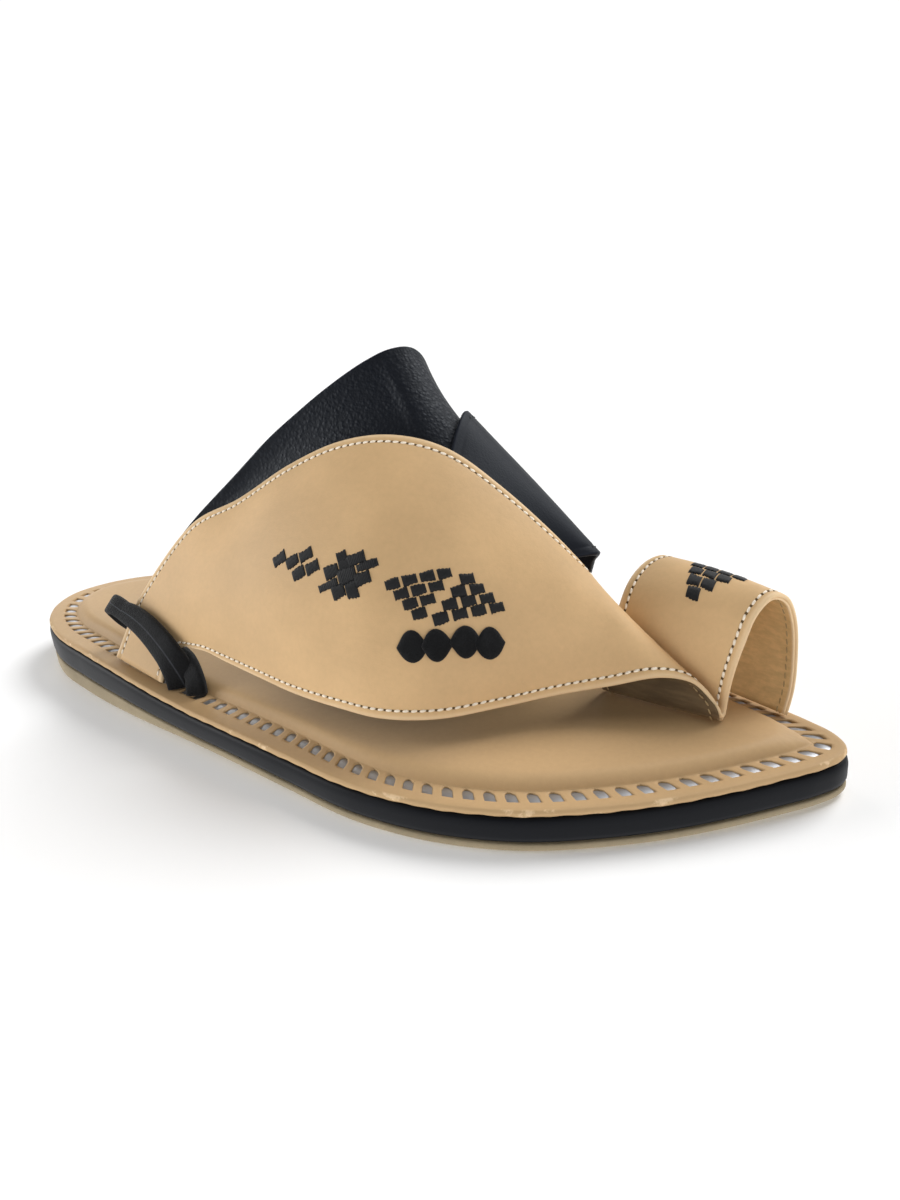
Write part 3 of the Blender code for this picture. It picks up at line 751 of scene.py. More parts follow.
class Value:
    """One shader value: a socket wrapped so that Python expressions add Math nodes."""

    def __init__(self, nodes, socket):
        self.nodes, self.socket = nodes, socket

    def math(self, operation, *values):
        """Adds one Math node."""
        return self.nodes.node("ShaderNodeMath", {"operation": operation}, dict(enumerate(values)))

    def __add__(self, other):
        return self.math("ADD", self, other)

    def __radd__(self, other):
        return self.math("ADD", other, self)

    def __sub__(self, other):
        return self.math("SUBTRACT", self, other)

    def __rsub__(self, other):
        return self.math("SUBTRACT", other, self)

    def __mul__(self, other):
        return self.math("MULTIPLY", self, other)

    def __rmul__(self, other):
        return self.math("MULTIPLY", other, self)

    def __pow__(self, other):
        return self.math("POWER", self, other)

    def step(self, low, high):
        """Smooth step from 0 at low to 1 at high."""
        return self.nodes.node("ShaderNodeMapRange", {"interpolation_type": "SMOOTHSTEP"},
                               {"Value": self, "From Min": low, "From Max": high})


class Nodes:
    """Node tree under construction."""

    def __init__(self, tree):
        self.tree = tree

    def node(self, kind, settings=None, inputs=None, output=0):
        """Adds a node: its settings first, then the values or links of its sockets."""
        item = self.tree.nodes.new(kind)
        for key, value in (settings or {}).items():
            if key == "stops":
                self.stops(item.color_ramp, value)
            else:
                setattr(item, key, value)
        for key, value in (inputs or {}).items():
            self.feed(item.inputs[key], value)
        return Value(self, item.outputs[output])

    def stops(self, ramp, stops):
        """Sets a ramp's stops, each a position and a grey."""
        ramp.elements.remove(ramp.elements[1])
        for number, (spot, grey) in enumerate(stops):
            stop = ramp.elements.new(spot) if number else ramp.elements[0]
            stop.position, stop.color = spot, (grey, grey, grey, 1.0)

    def feed(self, socket, value):
        """Links a wrapped value to a socket, or sets a plain one."""
        if isinstance(value, Value):
            self.tree.links.new(value.socket, socket)
        elif hasattr(value, "__len__") and socket.type == "RGBA":
            socket.default_value = (*value[:3], 1.0)
        else:
            socket.default_value = value


class Finish(Nodes):
    """One material under construction."""

    def __init__(self, name):
        self.material = bpy.data.materials.new(name)
        self.material.use_nodes = True
        super().__init__(self.material.node_tree)
        self.shader = self.tree.nodes["Principled BSDF"]

    def place(self):
        """Object coordinates."""
        return self.node("ShaderNodeTexCoord", output="Object")

    def stretched(self, size, turn=(0.0, 0.0, 0.0)):
        """Object coordinates turned and scaled by a Mapping node."""
        return self.node("ShaderNodeMapping", None, {"Vector": self.place(), "Rotation": turn, "Scale": size})

    def noise(self, scale, detail=3.0, rough=0.5, place=None):
        """Noise of 0 to 1; scale is in cells to the metre."""
        return self.node("ShaderNodeTexNoise", None, {
            "Vector": place or self.place(), "Scale": scale, "Detail": detail, "Roughness": rough})

    def cells(self, scale, feature="F1", place=None):
        """Distance in a Voronoi pattern; scale is in cells to the metre."""
        return self.node("ShaderNodeTexVoronoi", {"feature": feature}, {
            "Vector": place or self.place(), "Scale": scale})

    def value(self, name):
        """Point value stored on the mesh."""
        return self.node("ShaderNodeAttribute", {"attribute_name": name}, output="Fac")

    def mix(self, share, first, second):
        """Colour between two, by a share."""
        return self.node("ShaderNodeMix", {"data_type": "RGBA"}, {0: share, 6: first, 7: second}, output=2)

    def shade(self, colour, factor):
        """Colour made lighter or darker by a factor about one."""
        grey = self.node("ShaderNodeCombineColor", None, {0: factor, 1: factor, 2: factor})
        return self.node("ShaderNodeMix", {"data_type": "RGBA", "blend_type": "MULTIPLY"},
                         {0: 1.0, 6: colour, 7: grey}, output=2)

    def done(self, colour, rough, height=None, deep=0.0002, strength=0.5, metal=None, **plain):
        """Feeds the shader and gives the material."""
        self.feed(self.shader.inputs["Base Color"], colour)
        self.feed(self.shader.inputs["Roughness"], rough)
        if metal is not None:
            self.feed(self.shader.inputs["Metallic"], metal)
        for key, value in plain.items():
            self.feed(self.shader.inputs[key.replace("_", " ").title().replace("Ior", "IOR")], value)
        if height is not None:
            inputs = {"Height": height, "Distance": deep, "Strength": strength}
            self.feed(self.shader.inputs["Normal"], self.node("ShaderNodeBump", None, inputs))
        return self.material


def darker(colour, factor):
    """Plain colour times a factor."""
    return tuple(float(c) * factor for c in colour)


def tan_leather(colours):
    """Smooth buffed leather: broad mottling, fine grain, rubbed pale edges and a pressed seam line."""
    f = Finish("tan_leather")
    broad, grain, fine = f.noise(22.0, 4.0), f.noise(700.0, 4.0, 0.6), f.noise(2600.0, 2.0)
    colour = f.mix(broad.step(0.3, 0.7), darker(colours.tan, 0.90), darker(colours.tan, 1.07))
    streak = f.noise(45.0, 5.0, 0.6, f.stretched((1.0, 3.0, 3.0)))
    colour = f.shade(colour, 0.86 + 0.14 * grain + 0.14 * streak)
    edge = f.value("edge")
    rubbed = (1.0 - edge.step(0.1, 1.3)) * (0.45 + 0.5 * f.noise(160.0))
    colour = f.mix(rubbed, colour, tuple(colours.tan_pale))
    seam_line = edge.step(1.2, 2.0) * (1.0 - edge.step(2.0, 2.9))
    colour = f.shade(colour, 1.0 - 0.12 * seam_line)
    rough = 0.50 + 0.10 * broad + 0.08 * grain
    height = 0.6 * grain + 0.4 * fine + 2.0 * streak
    return f.done(colour, rough, height, 0.00022, 0.35, specular_ior_level=0.22)


def lining_leather(colours):
    """Thin unfinished lining with drawn-out streaks: cream in the toe loop, and under the vamp a dark brown
    that is partly the lining's tan and partly painted shade.
    """
    f = Finish("lining_leather")
    streak = f.noise(110.0, 4.0, 0.6, f.stretched((1.0, 4.0, 7.0)))
    grain = f.noise(900.0, 3.0, 0.6)
    cream = f.mix(streak.step(0.3, 0.75), darker(colours.lining, 0.84), darker(colours.lining, 1.05))
    # Painted shade: under the vamp the lining is darkened to a sixth to a quarter of the tan.
    painted_shade_brown = f.mix(streak.step(0.3, 0.75), darker(colours.tan, 0.17), darker(colours.tan, 0.26))
    loop = f.value("along").step(16.0, 19.5)
    colour = f.mix(loop, painted_shade_brown, cream)
    colour = f.mix((1.0 - f.value("edge").step(0.1, 0.7)) * loop, colour, tuple(colours.tan_pale))
    colour = f.shade(colour, 0.92 + 0.16 * grain)
    return f.done(colour, 0.72 + 0.12 * grain, grain, 0.0002, 0.35, specular_ior_level=0.25)


def footbed_leather(colours):
    """Tan leather of the footbed, darker than the vamp's: partly its own tone, partly painted shade; mottled,
    with a raw pale nicked edge and slot walls darkened as painted shade.
    """
    f = Finish("footbed_leather")
    broad, grain = f.noise(16.0, 4.0), f.noise(650.0, 4.0, 0.6)
    # The footbed's tan is darker than the vamp's: partly its own tone and partly painted shade from the vamp.
    colour = f.mix(broad.step(0.3, 0.7), darker(colours.tan, 0.71), darker(colours.tan, 0.83))
    colour = f.shade(colour, 0.93 + 0.14 * grain)
    side = f.value("side")
    nick = f.noise(140.0, 5.0, 0.7).step(0.56, 0.66)
    raw = f.mix(nick, darker(colours.tan, 0.80), tuple(colours.tan_pale))
    colour = f.mix(side * 0.75, colour, raw)
    # Painted shade: the slot walls and floors are darkened by their share of the slot's depth.
    colour = f.shade(colour, 1.0 - 0.55 * f.value("deep"))
    height = 0.5 * grain + side * 1.6 * f.noise(420.0, 4.0, 0.7)
    return f.done(colour, 0.50 + 0.12 * broad + 0.1 * side, height, 0.00028, 0.35, specular_ior_level=0.22)


def silver_strip(colours):
    """Bright metallised strip with fine brushed lines."""
    f = Finish("silver_strip")
    brush = f.noise(500.0, 3.0, 0.5, f.stretched((1.0, 6.0, 1.0)))
    colour = f.shade(tuple(colours.silver), 0.86 + 0.2 * brush)
    return f.done(colour, 0.38 + 0.12 * brush, brush, 0.0001, 0.15, metal=0.85)


def midsole_rubber(colours):
    """Smooth black sole layer: faint mould marks and dull scuffs."""
    f = Finish("midsole_rubber")
    broad, grain = f.noise(35.0, 4.0), f.noise(1100.0, 3.0, 0.6)
    scuff = f.noise(120.0, 5.0, 0.7, f.stretched((1.0, 1.0, 5.0))).step(0.58, 0.78)
    colour = f.mix(scuff * 0.35, tuple(colours.midsole), darker(colours.midsole, 2.4))
    return f.done(f.shade(colour, 0.85 + 0.3 * grain), 0.42 + 0.14 * broad + 0.1 * scuff,
                  0.4 * grain + 0.6 * broad, 0.00025, 0.25, specular_ior_level=0.12)


def outsole_rubber(colours):
    """Matt beige rubber: speckled, with grey dirt in patches."""
    f = Finish("outsole_rubber")
    broad, grain = f.noise(45.0, 5.0, 0.6), f.noise(1300.0, 3.0, 0.6)
    colour = f.mix(broad.step(0.35, 0.75), tuple(colours.outsole), darker(colours.outsole, 0.78))
    colour = f.shade(colour, 0.88 + 0.24 * grain)
    return f.done(colour, 0.74 + 0.12 * broad, 0.7 * grain + 0.3 * broad, 0.0003, 0.4, specular_ior_level=0.3)


def smooth_black_leather(colours):
    """Black leather with a fine tight grain, paler at its rubbed edges."""
    f = Finish("smooth_black_leather")
    broad, grain = f.noise(40.0, 3.0), f.noise(1500.0, 4.0, 0.6)
    rubbed = (1.0 - f.value("edge").step(0.0, 0.9)) * f.noise(200.0)
    colour = f.mix(rubbed * 0.8, tuple(colours.black), darker(colours.black, 2.6))
    colour = f.shade(colour, 0.86 + 0.28 * grain)
    rough = 0.46 + 0.12 * broad + 0.1 * grain
    return f.done(colour, rough, grain, 0.00022, 0.4, specular_ior_level=0.18, specular_tint=BLACK_GLOSS)


def pebbled_black_leather(colours):
    """Black leather with rounded pebbles parted by fine valleys, the valleys painted darker as painted shade.
    """
    f = Finish("pebbled_black_leather")
    warp = f.noise(500.0, 2.0)
    pebble = f.cells(760.0, "F1").step(0.0, 0.75)
    small = f.cells(1500.0, "F1").step(0.0, 0.8)
    valley = 0.7 * pebble + 0.3 * small
    rubbed = (1.0 - f.value("edge").step(0.0, 0.9)) * f.noise(200.0)
    colour = f.mix(rubbed * 0.6, tuple(colours.black), darker(colours.black, 2.4))
    # Painted shade: the valleys between the pebbles are darkened.
    colour = f.shade(colour, 1.12 - 0.35 * valley)
    rough = 0.40 + 0.2 * valley + 0.1 * warp
    return f.done(colour, rough, 1.0 - valley, 0.00035, 0.55, specular_ior_level=0.22,
                  specular_tint=BLACK_GLOSS)


def black_suede(colours):
    """Matt napped leather: short uneven nap, brushed lighter in places, with a pale line between plies that
    is partly their seam and partly a painted highlight.
    """
    f = Finish("black_suede")
    brushed, nap = f.noise(260.0, 4.0, 0.65), f.noise(1700.0, 4.0, 0.7)
    colour = f.mix(brushed.step(0.45, 0.8), tuple(colours.suede), darker(colours.suede, 1.9))
    # Painted highlight: the pale line between the plies is painted far lighter than the suede.
    ply_highlight = f.value("edge").step(0.78, 1.0) * (0.3 + 0.7 * brushed)
    colour = f.mix(ply_highlight, colour, darker(colours.suede, 12.0))
    colour = f.shade(colour, 0.2 + 1.6 * nap)
    return f.done(colour, 0.86 + 0.1 * nap, nap, 0.0004, 0.8, sheen_weight=0.10, sheen_roughness=0.5,
                  specular_ior_level=0.2)


def embroidery_thread(colours):
    """Satin black thread with fine twisted fibres and a soft gloss, each thread's crest painted lighter and
    its sides darker as painted highlight and shade.
    """
    f = Finish("embroidery_thread")
    fibre = f.noise(3200.0, 3.0, 0.6)
    ridge = f.value("ridge")
    # Painted highlight and shade: the crest of each thread is lighter and the grooves between threads darker.
    colour = f.shade(tuple(colours.black_thread), 0.55 + 0.5 * ridge + 0.3 * fibre)
    return f.done(colour, 0.50 + 0.2 * fibre, fibre, 0.00015, 0.4, sheen_weight=0.05, specular_ior_level=0.3)


def twisted_thread(name, colour, low, span, rough):
    """Sewing thread: a fine twist in its colour, roughness and bump."""
    f = Finish(name)
    twist = f.noise(2400.0, 2.0)
    return f.done(f.shade(colour, low + span * twist), rough + 0.15 * twist, twist, 0.0001, 0.4)


def pale_thread(colours):
    """Waxed off-white sewing thread of the tan leather."""
    return twisted_thread("pale_thread", tuple(colours.pale_thread), 0.82, 0.3, 0.55)


def shaded_lining_thread(colours):
    """Sewing thread of the inner side, darkened to about half the lining's tone as painted shade."""
    return twisted_thread("shaded_lining_thread", darker(colours.lining, 0.55), 0.8, 0.3, 0.6)


def dark_thread(colours):
    """Black sewing thread of the strap."""
    return twisted_thread("dark_thread", darker(colours.black, 1.2), 0.6, 0.7, 0.5)


def needle_hole_shade(colours):
    """Dark pieces of painted shade that stand for the bottom of the needle holes."""
    f = Finish("needle_hole_shade")
    speck = f.noise(1500.0)
    colour = f.shade(darker(colours.tan, 0.20), 0.7 + 0.5 * speck)
    return f.done(colour, 0.8 + 0.1 * speck, specular_ior_level=0.0)


def pale_floor(colours):
    """Plain pale floor."""
    f = Finish("pale_floor")
    haze = f.noise(3.0, 2.0)
    colour = f.shade(tuple(colours.floor), 0.99 + 0.02 * haze)
    return f.done(colour, 0.7 + 0.05 * haze, specular_ior_level=0.1, emission_color=(1.0, 1.0, 1.0),
                  emission_strength=0.08)


def finish_of(maker):
    """A material made once and shared by the pieces that need it."""
    found = bpy.data.materials.get(maker.__name__)
    return found or maker(bpy.context.scene.sandal_colours)


class SANDAL_OT_stage(bpy.types.Operator):
    """Pale floor, soft studio light and the camera at the photograph's angle"""

    bl_idname = "sandal.stage"
    bl_label = "Stage"

    def execute(self, context):
        scene = context.scene
        scene.view_settings.view_transform = "Standard"
        self.floor()
        scene.world = self.sky()
        for lamp in LAMPS:
            scene.collection.objects.link(self.lamp(*lamp))
        lens = bpy.data.cameras.new("camera")
        lens.lens, lens.sensor_width, lens.sensor_fit = FOCAL_LENGTH, SENSOR, "AUTO"
        lens.clip_start, lens.clip_end = 0.01, 100.0
        camera = bpy.data.objects.new("camera", lens)
        scene.collection.objects.link(camera)
        camera.matrix_world = axes(CAMERA_RIGHT, CAMERA_UP, -np.asarray(CAMERA_AHEAD), CAMERA_PLACE)
        scene.camera = camera
        return {"FINISHED"}

    def floor(self):
        """Flat disc of rings that sends no light back to the sandal."""
        radius = np.array(FLOOR_RINGS)[:, None]
        turn = np.linspace(0.0, 2.0 * np.pi, 49)[None, :-1]
        level = FLOOR_LEVEL + 0.0 * radius * turn
        disc = np.stack([radius * np.cos(turn), radius * np.sin(turn), level], axis=-1)
        shell = {"points": disc - MOVE, "faces": quads(*disc.shape[:2], True)}
        floor = put("floor", [shell], [finish_of(pale_floor)], upward=True)
        floor.visible_diffuse = floor.visible_glossy = False

    def sky(self):
        """World whose grey depends on the height of the direction alone."""
        world = bpy.data.worlds.new("studio")
        world.use_nodes = True
        nodes = Nodes(world.node_tree)
        way = nodes.node("ShaderNodeTexCoord", output="Generated")
        height = nodes.node("ShaderNodeSeparateXYZ", None, {0: way}, "Z")
        grey = nodes.node("ShaderNodeValToRGB", {"stops": SKY}, {0: 0.5 + 0.5 * height})
        background = world.node_tree.nodes["Background"]
        nodes.feed(background.inputs["Color"], grey)
        nodes.feed(background.inputs["Strength"], SKY_STRENGTH)
        return world

    def lamp(self, name, spot, size, power):
        """Soft sun turned to shine from a direction."""
        sun = bpy.data.lights.new(name, "SUN")
        sun.angle, sun.energy = np.radians(size), power
        item = bpy.data.objects.new(name, sun)
        back = unit(np.asarray(spot))
        side = unit(np.cross((0.0, 0.0, 1.0), back))
        item.matrix_world = axes(side, np.cross(back, side), back, spot)
        return item


def axes(right, up, back, spot):
    """Placing matrix from three directions and a spot."""
    columns = [*(unit(np.asarray(way)) for way in (right, up, back)), np.asarray(spot)]
    return Matrix([*np.stack(columns, axis=1).tolist(), [0.0, 0.0, 0.0, 1.0]])


def sole_side(*parts):
    """Side of a sole layer: rings one above the other, each part a layer's column, then insets and rises."""
    count = 2 * SOLE_STEPS
    return np.stack([raised(ring_at(amount, np.arange(float(count)), count), column, rise)
                     for column, profile in parts for amount, rise in profile])


def closed_layer(side):
    """Sole layer closed by bridges over its bottom and top ring."""
    rows, cols = side.shape[:2]
    low, high = bridge(side[0], SOLE_ACROSS), bridge(side[-1], SOLE_ACROSS)
    points = np.concatenate([part.reshape(-1, 3) for part in (side, low, high)])
    flat = quads(*low.shape[:2]) + rows * cols
    faces = [quads(rows, cols, True), flat, flat[:, ::-1] + low.shape[0] * SOLE_ACROSS]
    return {"points": points, "faces": np.concatenate(faces)}


class SANDAL_OT_sole(bpy.types.Operator):
    """Beige outsole and black midsole with softly rounded sides"""

    bl_idname = "sandal.sole"
    bl_label = "Sole"

    def execute(self, context):
        beige = ((2.2, 0.0), (1.3, 0.05), (0.7, 0.3), (0.35, 0.8), (0.2, 1.5))
        top = ((0.2, -0.5), (0.3, -0.15), (0.7, 0.0))
        side = sole_side((UNDERSIDE, beige), (OUTSOLE_TOP, top))
        put("outsole_rubber", [closed_layer(side)], [finish_of(outsole_rubber)], "outsole", ("outsole",))
        low = ((0.9, GAP), (0.45, GAP + 0.35), (0.15, GAP + 1.0), (0.05, GAP + 1.8))
        high = ((0.0, -2.6), (0.05, -1.7), (0.25, -0.9), (0.6, -0.35), (1.1, -0.05), (2.4, 0.0))
        side = sole_side((OUTSOLE_TOP, low), (MIDSOLE_TOP, high))
        put("midsole_layer", [closed_layer(side)], [finish_of(midsole_rubber)], "midsole", ("midsole",))
        return {"FINISHED"}


class SANDAL_OT_footbed(bpy.types.Operator):
    """Padded tan footbed with a slotted rim, and the silver strip that shows in the slots"""

    bl_idname = "sandal.footbed"
    bl_label = "Footbed"

    def execute(self, context):
        sizes = context.scene.sandal_sizes
        first, last = ((sizes.slot_inset + end * sizes.slot_long) / MM for end in (-0.5, 0.5))
        grid, depth, side = self.top(sizes, first, last)
        rows, cols = grid.shape[:2]
        pad, low = bridge(grid[-1], 15), bridge(grid[0], 3)
        points = np.concatenate([part.reshape(-1, 3) for part in (grid, pad, low)])
        faces = [quads(rows, cols, True), quads(*pad.shape[:2])[:, ::-1] + rows * cols,
                 quads(*low.shape[:2]) + rows * cols + pad.shape[0] * pad.shape[1]]
        more = np.zeros(len(points) - rows * cols)
        # deep carries each point's share of the slot depth, which the finish darkens as painted shade.
        values = {"side": np.append(side, more), "deep": np.append(depth, more)}
        shell = {"points": points, "faces": np.concatenate(faces), "values": values}
        bed = put("footbed_leather", [shell], [finish_of(footbed_leather)], "footbed", ("footbed",))
        self.lace(sizes, first, last)
        return {"FINISHED"}

    def top(self, sizes, first, last):
        """Rings from the rim's edge over the slots and up the pad, share of the slots' depth, raw side.

        In each step from slot to slot the points go from the slot's middle over its wall and the bar to the
        next slot's wall. The slots narrow by a power towards their inner end, the pad rises by another, and
        sines make the cut edge uneven.
        """
        count, wall_at = sizes.slot_count, SLOT_WALL / SLOT_HALF
        half = np.array((0.0, 0.5, 1.0 - wall_at, 1.0, 1.0 + wall_at, 1.42))
        sink = np.array((1.0, 1.0, 1.0, 0.3, 0.0, 0.0))
        column = np.concatenate([half, [0.5 / SLOT_HALF], -half[:0:-1]])
        sunk = np.concatenate([sink, [0.0], sink[:0:-1]])
        wrap = np.repeat((0.0, 1.0), (len(half) + 1, len(half) - 1))
        edge, height = np.transpose(RIM_EDGE)
        before = (first - 1.0, first - SLOT_LIP, first)
        slot = np.linspace(first + SLOT_LIP, last - SLOT_LIP, 9)
        behind = (last, last + SLOT_LIP, last + PAD_START)
        pad = last + np.array((0.55, 0.75, 1.0, 1.4, 2.0, 2.8, 4.0, 5.8, PAD_RUN))
        amounts = np.concatenate([edge, before, slot, behind, pad])
        slide = np.where(amounts > edge[-1] + 0.3, 1.0, 0.0)
        swell = PAD_RISE * (1.0 - ((last + PAD_RUN - pad) / (PAD_RUN - PAD_START)) ** 7)
        level = np.zeros(len(amounts) - len(edge) - len(pad))
        rise = np.concatenate([height, RIM_THICK + level, RIM_THICK + swell])
        deep = [np.zeros(len(edge) + 2), [0.3], np.ones(len(slot)), [0.3], np.zeros(2 + len(pad))]
        narrow = 1.0 - 0.72 * np.clip(1.0 - (last - amounts) / SLOT_ROUND, 0.0, 1.0) ** 2.4
        narrow = narrow + (1.0 - narrow) * np.clip((amounts - last) / 1.2, 0.0, 1.0)
        in_slot = np.abs(column) <= 1.0 + 2.0 * wall_at
        offset = column * SLOT_HALF * np.where(in_slot, narrow[:, None], 1.0)
        turn = np.arange(count)[:, None, None] + (offset + wrap)[None]
        grid = []
        for k, amount in enumerate(amounts):
            plan = ring_at(amount, turn[:, k].ravel(), count, slide[k])
            plan = softened(plan, 46, np.clip((amount - last - PAD_START) / 1.6, 0.0, 1.0))
            cut = 0.07 * np.sin(1.9 * turn[:, k]) + 0.09 * np.sin(5.3 * turn[:, k] + 1.0)
            wave = cut.ravel() * np.clip(1.0 - rise[k], 0.0, 1.0)
            grid.append(raised(plan, MIDSOLE_TOP, GAP + rise[k] + wave))
        grid = np.asarray(grid)
        depth = np.concatenate(deep)[:, None] * np.tile(sunk, count)[None]
        grid[..., 2] -= depth * sizes.slot_depth / MM
        return grid, depth, np.repeat((amounts < 1.0).astype(float), grid.shape[1])

    def lace(self, sizes, first, last):
        """Silver strip: in each slot a tongue arched along its length, narrowing to a round inner end."""
        count, long, wide = sizes.slot_count, 8, 5
        share = np.linspace(0.0, 1.0, long)
        width = SLOT_HALF * 0.97 * np.sqrt(1.0 - 0.86 * np.clip((share - 0.6) / 0.4, 0.0, 1.0) ** 2.4)
        across = np.linspace(-1.0, 1.0, wide)
        grid = []
        for k, amount in enumerate(first + 0.15 + (last - first - 0.3) * share):
            plan = ring_at(amount, np.arange(count)[:, None] + width[k] * across[None], count, 1.0)
            sink = 0.24 + 1.10 * np.abs(share[k] - 0.6) ** 2 + 0.05 * across ** 2
            grid.append(raised(plan, MIDSOLE_TOP, GAP + RIM_THICK - sink[None]))
        faces = repeated(quads(long, wide), long * wide, count)
        shell = {"points": np.stack(grid, axis=1), "faces": faces}
        put("lacing_strip", [shell], [finish_of(silver_strip)], "lacing", ("lacing",), upward=True)


def vamp_face(place, share, edge):
    """Outer face of the vamp: pressed down at the seam, puffed between seam and edge."""
    sizes = bpy.context.scene.sandal_sizes
    seam_at = sizes.stitch_inset / MM
    pressed = -VAMP_PRESS * np.exp(-((edge - seam_at) / 0.5) ** 2)
    puffed = 0.06 * np.exp(-((edge - 0.5 * seam_at) / 0.6) ** 2)
    return pressed + puffed


class SANDAL_OT_upper(bpy.types.Operator):
    """Tan vamp and toe loop in two layers, leather outside and lining inside"""

    bl_idname = "sandal.upper"
    bl_label = "Vamp and toe loop"

    def execute(self, context):
        rim = ((0.78, 0.24), (0.52, 0.46), (0.22, 0.54), (-0.04, 0.44), (-0.2, 0.16), (-0.25, -0.12),
               (-0.32, 0.10), (-0.56, 0.28), (-0.8, 0.14))
        steps = (0.0, 0.35, 0.8, 1.3, 1.8, 2.15, 2.5, 2.85, 3.3, 4.0, 5.0)
        grid, edge, along, face = wall(vamp_rows(), 1.5, VAMP_THICK, steps, 30, rim, vamp_face)
        rows, cols = grid.shape[:2]
        # The lining goes from the groove in the front edge round to the one in the rear edge.
        groove = 5
        kind = np.zeros(cols, int)
        kind[face + groove: 2 * face + len(rim) + groove - 1] = 1
        shell = {"points": grid, "faces": quads(rows, cols, True), "kind": np.tile(kind, rows - 1),
                 "values": {"edge": edge, "along": along}}
        finishes = [finish_of(tan_leather), finish_of(lining_leather)]
        put("vamp_and_toe_loop", [shell], finishes, "upper", ("upper",))
        return {"FINISHED"}


def round_edge(thick, *reach):
    """Rounded edge of a wall from the outer face to the inner one, as heights and reaches."""
    high = 0.5 * thick * np.array((0.85, 0.45, 0.0, -0.45, -0.85))
    return np.stack([high, [*reach, *reach[-2::-1]]], axis=1)


class SANDAL_OT_straps(bpy.types.Operator):
    """Black instep strap, pebbled wing and suede keeper loop"""

    bl_idname = "sandal.straps"
    bl_label = "Strap, wing and keeper"

    def execute(self, context):
        steps = (0.0, 0.4, 0.9, 1.5, 2.1, 2.5, 2.9, 3.6, 5.0)
        rim = round_edge(STRAP_THICK, 0.22, 0.42, 0.48)
        strap = wall(strap_rows(), 1.6, STRAP_THICK, steps, 16, rim, self.pressed)
        self.sheet("instep_strap_leather", strap, smooth_black_leather, "instep_strap")
        steps = (0.0, 0.4, 0.9, 1.6, 3.0)
        rim = round_edge(WING_THICK, 0.20, 0.36, 0.42)
        wing = wall(wing_rows(), 1.8, WING_THICK, steps, 28, rim)
        self.sheet("wing_leather", wing, pebbled_black_leather, "medial_wing")
        self.keeper()
        return {"FINISHED"}

    def sheet(self, name, made, finish, node):
        """One piece of black leather from its wall, in place of its solid."""
        grid, edge = made[:2]
        shell = {"points": grid, "faces": quads(*grid.shape[:2], True), "values": {"edge": edge}}
        put(name, [shell], [finish_of(finish)], node, (node,))

    def pressed(self, place, share, edge):
        """Outer face of the strap: pressed down along the seam."""
        return -STRAP_PRESS * np.exp(-((edge - STRAP_SEAM) / 0.45) ** 2)

    def keeper(self):
        """Keeper loop: a rounded oblong section carried along its line, its width turned to a rising way.

        The oblong is a circle whose cosine and sine are taken to a power. At the first foot the upper side
        of the section spreads, so that both feet read as one fold.
        """
        count, sides, power, ply_highlight = 150, 28, 0.55, 21
        path = even(stood(KEEPER, 0.2), count)
        ahead = unit(np.gradient(path, axis=0))
        rise = np.array([KEEPER_LEAN])
        edge = unit(rise - ahead * np.sum(rise * ahead, axis=1, keepdims=True))
        flat = np.cross(ahead, edge)
        a = np.linspace(0.0, 2.0 * np.pi, sides + 1)[:-1]
        ways = ((KEEPER_WIDE, np.cos(a)), (KEEPER_THICK, np.sin(a)))
        wide, thick = (0.5 * size * np.sign(way) * np.abs(way) ** power for size, way in ways)
        foot = np.clip(1.0 - np.arange(count) / KEEPER_FOOT_RUN, 0.0, 1.0)[:, None] ** 0.7
        wide = wide + 0.5 * KEEPER_FOOT_SPREAD * (1.0 + np.cos(a)) * foot
        grid = path[:, None] + edge[:, None] * wide[..., None] + flat[:, None] * thick[None, :, None]
        slide = (path[[0, -1], None, 2] - grid[[0, -1], :, 2]) / ahead[[0, -1], None, 2]
        grid[[0, -1]] += slide[..., None] * ahead[[0, -1], None]
        closed = np.repeat(path[:, None], sides, axis=1)
        grid = np.concatenate([closed[:1], grid, closed[-1:]])
        # One side of the section carries the pale line between the plies, partly a painted highlight.
        line = np.tile((np.arange(sides) == ply_highlight).astype(float), len(grid))
        shell = {"points": grid, "faces": quads(*grid.shape[:2], True), "values": {"edge": line}}
        put("keeper_strap", [shell], [finish_of(black_suede)], "keeper_loop", ("keeper_loop",))


